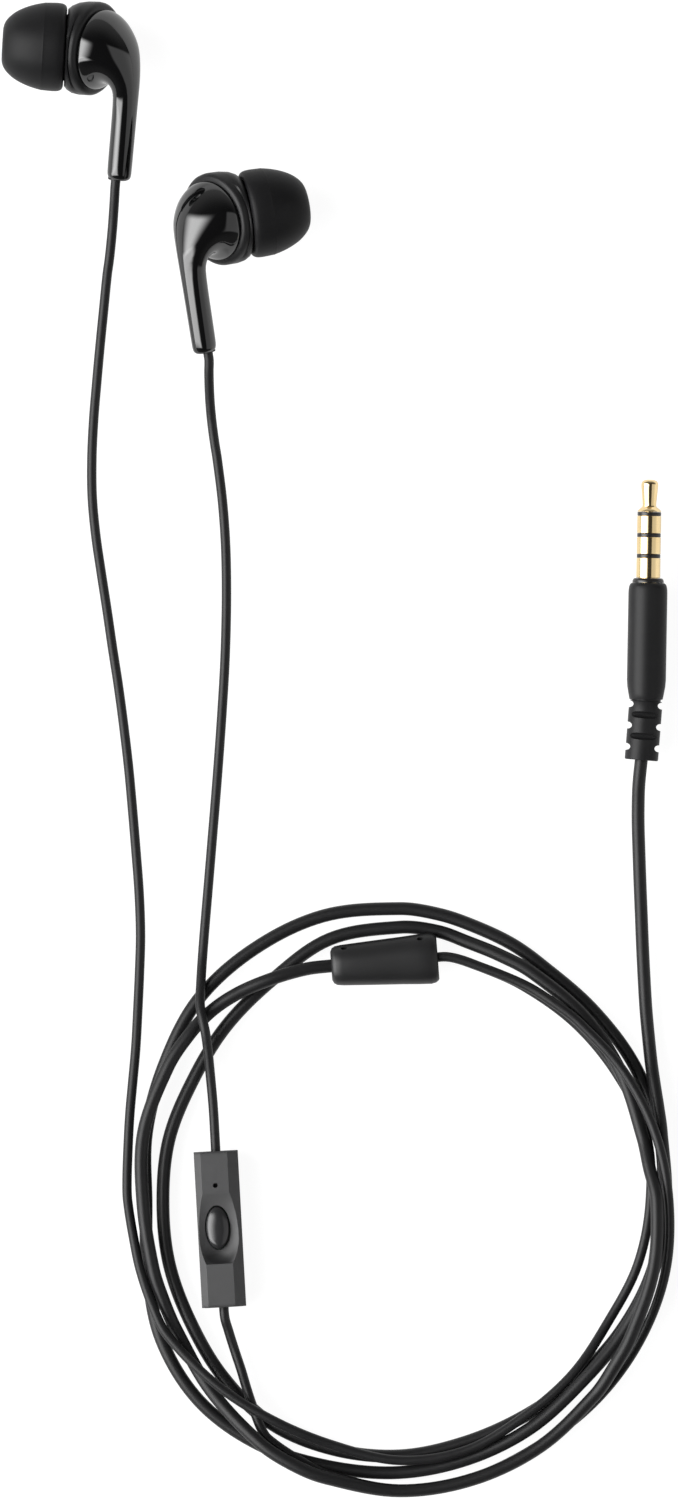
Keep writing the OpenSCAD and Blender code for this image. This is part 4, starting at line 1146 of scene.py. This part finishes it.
@dataclass
class Remote:
    """The in-line remote: two shells, a hollow for the thumb, an oval button and a microphone.

    In its own frame +Y is its length and its back lies at z = 0.

    Attributes:
        at: where its middle lies.
        heading: its turn about Z, in degrees.
        length: its length.
        width: its width.
        height: its height.
        split: height of the seam of its two halves.
        gap: room at that seam, and the least height of a chamfer.
        left_chamfer: where the left chamfer starts, its height and its width.
        right_chamfer: the same of the right one.
        face_x: middle of its face.
        scoop_deep: how deep the hollow is in the face's long edges.
        scoop_from: where the hollow starts.
        scoop_low: where its edges are lowest.
        scoop_to: where it ends.
        dish_deep: how deep it is between them.
        dish_low: where it is deepest.
        dish_wall: how its lower end rises there: 1 evenly, less the steeper.
        dish_curve: how it rises towards the edges, in the same way.
        dish_steps: faces across it.
        stations: sections along it.
        crowding: how far they crowd towards its lower end.
        end_round: how the ends are drawn in, by distance.
        edge_round: width of the rounding of its edges.
        edge_angle: edges sharper than this are rounded, in degrees.
        button_y: where the button is.
        button_half: its half width and half length.
        button_gap: the room round it.
        button_foot: how far down the tool for its hole reaches.
        mic_y: where the microphone's hole is.
        mic_r: the hole's radius.
        mic_foot: how far down the tool for it reaches.
        tool_top: how far up both tools reach, clear of the face.
        inner_pieces: the back and what is inside, from the frame.
    """

    at: Point = (9.26, -152.61, 0.0)
    heading: float = 3.14
    length: float = 22.6
    width: float = 6.4
    height: float = 5.1
    split: float = 2.55
    gap: float = 0.02
    left_chamfer: Point = (4.15, 0.95, 0.94)
    right_chamfer: Point = (3.9, 1.2, 1.54)
    face_x: float = -0.3
    scoop_deep: float = 0.8
    scoop_from: float = -5.0
    scoop_low: float = -0.9
    scoop_to: float = 5.3
    dish_deep: float = 1.6
    dish_low: float = -3.3
    dish_wall: float = 0.5
    dish_curve: float = 0.75
    dish_steps: int = 9
    stations: int = 60
    crowding: float = 1.5
    end_round: tuple[Pair, ...] = ((0.0, 0.42), (0.08, 0.24), (0.24, 0.09), (0.5, 0.0))
    edge_round: float = 0.08
    edge_angle: float = 28.0
    button_y: float = 0.26
    button_half: Pair = (1.7, 3.1)
    button_gap: float = 0.14
    button_foot: float = 2.0
    mic_y: float = 6.38
    mic_r: float = 0.35
    mic_foot: float = 3.4
    tool_top: float = 8.0
    inner_pieces: tuple[tuple[str, Finish], ...] = (
        ("remote_back", REMOTE_BODY), ("remote_switch", STEEL), ("remote_board", BOARD),
        ("microphone", STEEL), ("mic_gasket", SILICONE))

    @property
    def place(self) -> Matrix:
        """Where the remote lies, in millimetres."""
        return Matrix.Translation(ORIGIN) @ shift(*self.at) @ turn("Z", self.heading)

    def sunk(self, y: float, deep: float, low: float, wall: float = 1.0) -> float:
        """Finds how far the face is sunk at a place.

        Args:
            y: distance along the remote.
            deep: the most that it is sunk.
            low: where it is sunk the most.
            wall: how the lower end rises: 1 evenly, less the steeper.

        Returns:
            The depth in millimetres, none outside the hollow.
        """
        if not self.scoop_from < y < self.scoop_to:
            return 0.0
        if y < low:
            return deep * (1 - ((low - y) / (low - self.scoop_from)) ** 2) ** wall
        return deep * (1 - ((y - low) / (self.scoop_to - low)) ** 2)

    def section(self, y: float, inset: float) -> list[Point]:
        """Finds the front shell's outline at one place.

        Args:
            y: distance along the remote.
            inset: how far the sides and the face are drawn in.

        Returns:
            The outline's points, in millimetres.
        """
        low, side = self.split + self.gap, self.width / 2 - inset
        high = self.height - self.sunk(y, self.scoop_deep, self.scoop_low) - inset
        (left_from, left_high, left_wide) = self.left_chamfer
        (right_from, right_high, right_wide) = self.right_chamfer
        left = -side + max(0.0, high - left_from) / left_high * left_wide
        right = side - max(0.0, high - right_from) / right_high * right_wide
        dish = max(0.0, self.sunk(y, self.dish_deep, self.dish_low, self.dish_wall)
                   - (self.height - inset - high))
        points = [(-side, y, low), (-side, y, min(left_from, high - self.gap))]
        for k in range(self.dish_steps + 1):
            part = k / self.dish_steps
            sag = dish * (1 - (2 * part - 1) ** 2) ** self.dish_curve
            points.append((left + (right - left) * part, y, high - sag))
        return points + [(side, y, min(right_from, high - self.gap)), (side, y, low)]

    def oval_tool(self, name: str, half: Pair, y: float, low: float) -> Object:
        """Makes an upright oval block to cut a hole with.

        Args:
            name: the tool's name.
            half: its half width and half length.
            y: where it stands.
            low: height of its foot.

        Returns:
            The tool.
        """
        ends = [(self.face_x, y, z) for z in (low, self.tool_top)]
        return bar(name, 56, self.place, ends, (half[0], 0, 0), (0, half[1], 0))

    def front(self) -> Object:
        """Makes the front shell with its hollow, button hole and microphone hole.

        Returns:
            The front shell.
        """
        shape = Modeller("remote_front_shell", self.dish_steps + 5, self.place)
        half, reach = self.length / 2, self.scoop_to - self.scoop_from
        stops = [(far - half, inset) for far, inset in self.end_round]
        stops += [(self.scoop_from + reach * (k / self.stations) ** self.crowding, 0.0)
                  for k in range(self.stations + 1)]
        stops += [(half - far, inset) for far, inset in reversed(self.end_round)]
        for y, inset in stops:
            shape.outline(self.section(y, inset))
        shell = shape.solid(angle=30)
        apply_modifier(shell, "BEVEL", width=self.edge_round * MM, segments=2,
                       limit_method="ANGLE", angle_limit=math.radians(self.edge_angle))
        wide, long = (size + self.button_gap for size in self.button_half)
        cut(shell, 30, [
            self.oval_tool("button_tool", (wide, long), self.button_y, self.button_foot),
            self.oval_tool("mic_tool", (self.mic_r, self.mic_r), self.mic_y, self.mic_foot)])
        return dress(shell, REMOTE_BODY, Body.MAIN, ["remote_front"])

    def button(self) -> Object:
        """Makes the oval button, domed, with a ridge along it.

        Returns:
            The button.
        """
        shape = Modeller("remote_oval_button", 64, self.place)
        wide, long = self.button_half
        levels = ((wide, long, 3.12), (wide, long, 4.1), (wide - 0.06, long - 0.06, 4.3),
                  (wide * 0.86, long * 0.88, 4.52), (wide * 0.66, long * 0.72, 4.68),
                  (wide * 0.42, long * 0.5, 4.79), (wide * 0.18, long * 0.24, 4.84))
        for half_x, half_y, z in levels:
            shape.ring((self.face_x, self.button_y, z), (half_x, 0, 0), (0, half_y, 0))
        return dress(shape.solid(angle=50), REMOTE_BUTTON, Body.BUTTON,
                     ["remote_button"])

    def build(self) -> list[Object]:
        """Makes the remote's pieces.

        Returns:
            The pieces on the cord.
        """
        front = self.front()
        self.button()
        return [front] + [paint(label, finish) for label, finish in self.inner_pieces]


# ---- the splitter ----


@dataclass
class Splitter:
    """The splitter: two smooth halves over a crimp, broader where the leads enter.

    In its own frame the leads enter at +X.

    Attributes:
        at: where its middle lies.
        heading: its turn about Z, in degrees.
        axis_z: height of its axis.
        seam: half the gap between its two halves.
        clear: heights clear below it and above it.
        half_length: half its length.
        exponent: how squared its section is: 2 is an ellipse.
        sides: vertices round each section.
        table: its sections, as x, half width and half height.
        main_bore: radius of the main cord's hole.
        lead_bore: radius of each lead's hole.
        lead_heights: heights of the two leads.
        bore_deep: how deep the holes are.
        dimples: where the two dimples in the upper side are.
        dimple_rise: their height above the axis.
        dimple_tilt: how far they face to the side, in degrees.
        dimple_half: half width and half length of a dimple.
        dimple_reach: from where to where the dimples' tool reaches.
    """

    at: Point = (33.1, -113.91, 0.0)
    heading: float = 4.4
    axis_z: float = 2.6
    seam: float = 0.025
    clear: Pair = (-1.0, 9.0)
    half_length: float = 7.75
    exponent: float = 2.1
    sides: int = 64
    table: tuple[Point, ...] = (
        (-7.75, 2.05, 1.8), (-7.5, 2.55, 2.2), (-7.05, 2.82, 2.43), (-6.15, 2.95, 2.55),
        (-4.0, 3.08, 2.55), (-2, 3.2, 2.55), (0.3, 3.33, 2.55), (2.5, 3.45, 2.55),
        (4.6, 3.6, 2.55), (6.55, 3.7, 2.55), (7.25, 3.55, 2.4), (7.6, 3.3, 2.15), (7.75, 3.1, 1.9))
    main_bore: float = 1.0
    lead_bore: float = 0.75
    lead_heights: Pair = (1.75, 3.4)
    bore_deep: float = 6.0
    dimples: tuple[Pair, ...] = ((-5.7, 2.5), (5.37, 3.0))
    dimple_rise: float = 1.55
    dimple_tilt: float = -52.0
    dimple_half: Pair = (0.46, 0.34)
    dimple_reach: Pair = (-0.55, 0.8)

    @property
    def place(self) -> Matrix:
        """Where the splitter lies, in millimetres."""
        return Matrix.Translation(ORIGIN) @ shift(*self.at) @ turn("Z", self.heading)

    def outline(self, x: float, wide: float, high: float) -> list[Point]:
        """Finds one softly squared section.

        Args:
            x: distance along the splitter.
            wide: its half width.
            high: its half height.

        Returns:
            The section's points, in millimetres.
        """
        points, e = [], self.exponent
        for k in range(self.sides):
            a = 2 * math.pi * (k + 0.5) / self.sides
            c, s = math.cos(a), math.sin(a)
            r = (abs(c) ** e + abs(s) ** e) ** (-1 / e)
            points.append((x, wide * r * c, self.axis_z + high * r * s))
        return points

    def tools(self, upper: bool) -> list[Object]:
        """Makes what the cords' holes and the dimples are cut with.

        Args:
            upper: whether the dimples are wanted too.

        Returns:
            The tools.
        """
        holes = [("main_bore_tool", -self.half_length, self.axis_z, self.main_bore)]
        holes += [("lead_bore_tool", self.half_length, z, self.lead_bore)
                  for z in self.lead_heights]
        made = [bar(name, 40, self.place, [(x + far, 0, z) for far in (
            -self.bore_deep, self.bore_deep)], (0, r, 0), (0, 0, r)) for name, x, z, r in holes]
        half_x, half_y = self.dimple_half
        for x, y in self.dimples if upper else ():
            place = (self.place @ shift(x, y, self.axis_z + self.dimple_rise)
                     @ turn("X", self.dimple_tilt))
            made.append(bar("dimple_tool", 32, place, [(0, 0, z) for z in self.dimple_reach],
                            (half_x, 0, 0), (0, half_y, 0)))
        return made

    def half(self, name: str, low: float, high: float, node: str) -> Object:
        """Makes one half of the body.

        Args:
            name: the half's name.
            low: the height that it starts at.
            high: the height that it ends at.
            node: the node that it stands for.

        Returns:
            The half.
        """
        shape = Modeller(name, self.sides, self.place)
        for row in self.table:
            shape.outline(self.outline(*row))
        piece = shape.solid()
        bpy.ops.object.mode_set(mode="EDIT")
        for height, outer in ((high, True), (low, False)):
            bpy.ops.mesh.select_all(action="SELECT")
            bpy.ops.mesh.bisect(plane_co=Vector((0, 0, height)) * MM, plane_no=(0, 0, 1),
                                use_fill=True, clear_outer=outer, clear_inner=not outer)
        bpy.ops.mesh.select_all(action="SELECT")
        bpy.ops.mesh.normals_make_consistent(inside=False)
        bpy.ops.object.mode_set(mode="OBJECT")
        cut(piece, 35, self.tools(upper=low > self.axis_z))
        return dress(piece, SPLITTER_BODY, Body.MAIN, [node])

    def build(self) -> list[Object]:
        """Makes the splitter's pieces.

        Returns:
            The pieces on the cord.
        """
        under, above = self.clear
        top = self.half("splitter_upper_half", self.axis_z + self.seam, above, "splitter_top")
        bottom = self.half("splitter_lower_half", under, self.axis_z - self.seam,
                           "splitter_bottom")
        return [top, bottom, paint("splitter_crimp", STEEL)]


# ---- the plug ----


@dataclass
class Plug:
    """The four-contact plug with its collar, barrel and slotted bend relief.

    In its own frame +Z runs from the cord to the plug's tip, from the barrel's cord end.

    Attributes:
        at: where the barrel's cord end lies, but for its height.
        heading: its turn about Z, in degrees.
        clear: its height above the surface.
        radius: radius of the contacts.
        root_r: radius of the sleeve's root.
        contact_bore: radius of the core below the contacts.
        barrel_r: the barrel's radius.
        barrel_len: its length.
        collar_len: how far the collar stands out of it.
        relief_r: the bend relief's radius.
        relief_len: its length.
        relief_from: where it starts.
        relief_bend: how far it bends to the side, in degrees.
        side_notches: where its side notches are.
        face_slots: where its front and back slots are.
        notch_deep: how deep a side notch and a slot reach in.
        notch_high: half the height of both.
        notch_reach: half the length of the bars that cut them.
        contact_len: length of the contacts.
        band: width of each black band.
        band_shares: where the bands start, as parts of the contacts' length.
        sides: vertices round each ring.
    """

    at: Pair = (71.0, -74.67)
    heading: float = -1.0
    clear: float = 0.02
    radius: float = 1.75
    root_r: float = 1.45
    contact_bore: float = 1.2
    barrel_r: float = 2.83
    barrel_len: float = 15.65
    collar_len: float = 0.68
    relief_r: float = 2.43
    relief_len: float = 8.75
    relief_from: float = -1.3
    relief_bend: float = 3.5
    side_notches: tuple[float, ...] = (-0.72, -3.82, -6.92)
    face_slots: tuple[float, ...] = (-2.2, -5.3)
    notch_deep: Pair = (0.68, 0.98)
    notch_high: float = 0.5
    notch_reach: float = 5.0
    contact_len: float = 14.3
    band: float = 0.54
    band_shares: Point = (0.206, 0.417, 0.632)
    sides: int = 72

    @property
    def place(self) -> Matrix:
        """Where the plug lies, with z along its axis, in millimetres."""
        return (Matrix.Translation(ORIGIN) @ shift(*self.at, self.barrel_r + self.clear)
                @ turn("Z", self.heading) @ turn("X", -90))

    @property
    def relief_place(self) -> Matrix:
        """Where the bend relief lies, in millimetres."""
        return self.place @ shift(0, 0, self.relief_from) @ turn("Y", self.relief_bend)

    @property
    def sleeve_from(self) -> float:
        """Distance of the first contact from the barrel's cord end."""
        return self.barrel_len + self.collar_len

    def turned(self, name: str, profile: Sequence[Pair], place: Matrix,
               angle: float = 35.0) -> Object:
        """Makes a turned piece.

        Args:
            name: the piece's name.
            profile: its profile, closed on itself, as radius and distance.
            place: where it lies, in millimetres.
            angle: edges sharper than this stay sharp, in degrees.

        Returns:
            The piece.
        """
        shape = Modeller(name, self.sides, place)
        for radius, far in profile:
            shape.ring((0, 0, far), (radius, 0, 0), (0, radius, 0))
        return shape.solid(angle, closed=True)

    def contacts(self) -> list[Object]:
        """Makes the gold tip, rings and sleeve and the black bands between them.

        Returns:
            The five pieces.
        """
        r, bore, band = self.radius, self.contact_bore, self.band
        bands = [self.sleeve_from + self.contact_len * share for share in self.band_shares]
        b1, b2, b3 = bands
        end = self.sleeve_from + self.contact_len
        tip = [(0.02, 12.0), (0.5, 12.0), (0.5, b3 + 0.58), (r - 0.04, b3 + 0.58), (r, b3 + 0.62),
               (r - 0.04, b3 + 0.72), (r - 0.3, b3 + 1.0), (1.06, b3 + 1.3), (1.0, b3 + 1.5),
               (1.02, b3 + 2.0), (1.12, b3 + 3.0), (1.22, end - 1.15), (1.25, end - 0.8),
               (1.2, end - 0.5), (1.06, end - 0.26), (0.8, end - 0.1), (0.4, end - 0.01),
               (0.02, end)]
        pieces = [("plug_gold_tip", tip, "plug_tip")]
        rows = (("plug_gold_ring_1", b2 + band + 0.02, b3 - 0.02, "plug_ring_1"),
                ("plug_gold_ring_2", b1 + band + 0.02, b2 - 0.02, "plug_ring_2"),
                ("plug_gold_sleeve", self.sleeve_from + 0.05, b1 - 0.02, "plug_sleeve"))
        for name, low, high, node in rows:
            inside = [(bore, low)]
            if node == "plug_sleeve":
                inside = [(bore, 13.4), (self.root_r, 13.4), (self.root_r, low)]
            pieces.append((name, inside + [(r - 0.05, low), (r, low + 0.05), (r, high - 0.05),
                                           (r - 0.05, high), (bore, high)], node))
        made = [dress(self.turned(name, profile, self.place, 30), GOLD, Body.MAIN, [node])
                for name, profile, node in pieces]
        core = [(0.55, 12.4), (1.15, 12.4)]
        for b in bands:
            core += [(1.15, b), (r - 0.06, b), (r - 0.03, b + 0.05), (r - 0.03, b + band - 0.05),
                     (r - 0.06, b + band), (1.15, b + band)]
        core[-1] = (0.55, b3 + band)
        return made + [dress(self.turned("plug_black_bands", core, self.place), INSULATOR,
                             Body.MAIN, ["plug_insulator"])]

    def body(self) -> list[Object]:
        """Makes the collar, the barrel and the slotted relief.

        Returns:
            The three pieces.
        """
        c, b, n, far = self.barrel_len, self.barrel_r, self.relief_r, -self.relief_len
        collar = self.turned("plug_black_collar", (
            (1.5, c + 0.02), (b - 0.55, c + 0.02), (b - 0.56, c + 0.3), (b - 0.62, c + 0.48),
            (b - 0.78, c + 0.66), (b - 0.9, c + 0.68), (1.5, c + 0.68)), self.place)
        barrel = self.turned("plug_satin_barrel", (
            (n - 0.1, -1.25), (n, -1.15), (b - 0.22, -0.2), (b - 0.08, 0.6), (b, 1.6),
            (b, c - 1.5), (b - 0.02, c - 1.0), (b - 0.09, c - 0.55), (b - 0.22, c - 0.2),
            (b - 0.45, c - 0.02), (b - 0.62, c), (1.5, c), (1.5, 2.95), (1.0, 2.95), (1.0, -0.7),
            (2.24, -0.7), (2.24, -1.25)), self.place)
        relief = self.turned("plug_slotted_relief", (
            (1.0, far), (n - 0.2, far), (n - 0.06, far + 0.06), (n, far + 0.2), (n, -0.35),
            (n - 0.1, -0.2), (n - 0.18, -0.14), (2.14, -0.14), (2.14, 0.4), (1.0, 0.4)),
            self.relief_place)
        cut(relief, 35, [self.notch_tool(sign, z, side)
                         for side, places in ((True, self.side_notches), (False, self.face_slots))
                         for z in places for sign in (-1, 1)])
        return [dress(collar, INSULATOR, Body.MAIN, ["plug_collar"]),
                dress(barrel, PLUG_BODY, Body.MAIN, ["plug_barrel"]),
                dress(relief, PLUG_BODY, Body.MAIN, ["plug_relief"])]

    def notch_tool(self, sign: int, z: float, side: bool) -> Object:
        """Makes a bar that cuts one notch of the relief.

        Args:
            sign: which of the two sides it is on.
            z: distance along the relief.
            side: whether it is a side notch, or a slot in the front or the back.

        Returns:
            The tool.
        """
        x, y = Vector((1, 0, 0)), Vector((0, 1, 0))
        out, way = (x, y) if side else (y, x)
        deep = self.notch_deep[0 if side else 1]
        middle = out * (sign * self.relief_r) + Vector((0, 0, z))
        ends = [middle + way * far for far in (-self.notch_reach, self.notch_reach)]
        return bar("notch_tool", 24, self.relief_place, ends, out * deep,
                   (0, 0, self.notch_high))

    def build(self) -> list[Object]:
        """Makes the plug's pieces.

        Returns:
            The pieces on the cord's end.
        """
        return self.contacts() + self.body() + [paint("plug_core", DRIVER_FRAME)]


def main() -> None:
    """Builds the studio, the cords and the sub-assemblies in order."""
    logging.basicConfig(level=logging.INFO, format="%(name)s: %(message)s")
    Studio().build()
    cords = CordSet()
    made = cords.build()
    for side in Side:
        EarBud(side).build()
    ends = {"right_cord_upper": Remote().build(), "left_cord": Splitter().build(),
            "main_cord": Plug().build()}
    cords.declare(made, ends)
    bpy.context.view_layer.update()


if __name__ == "__main__":
    main()
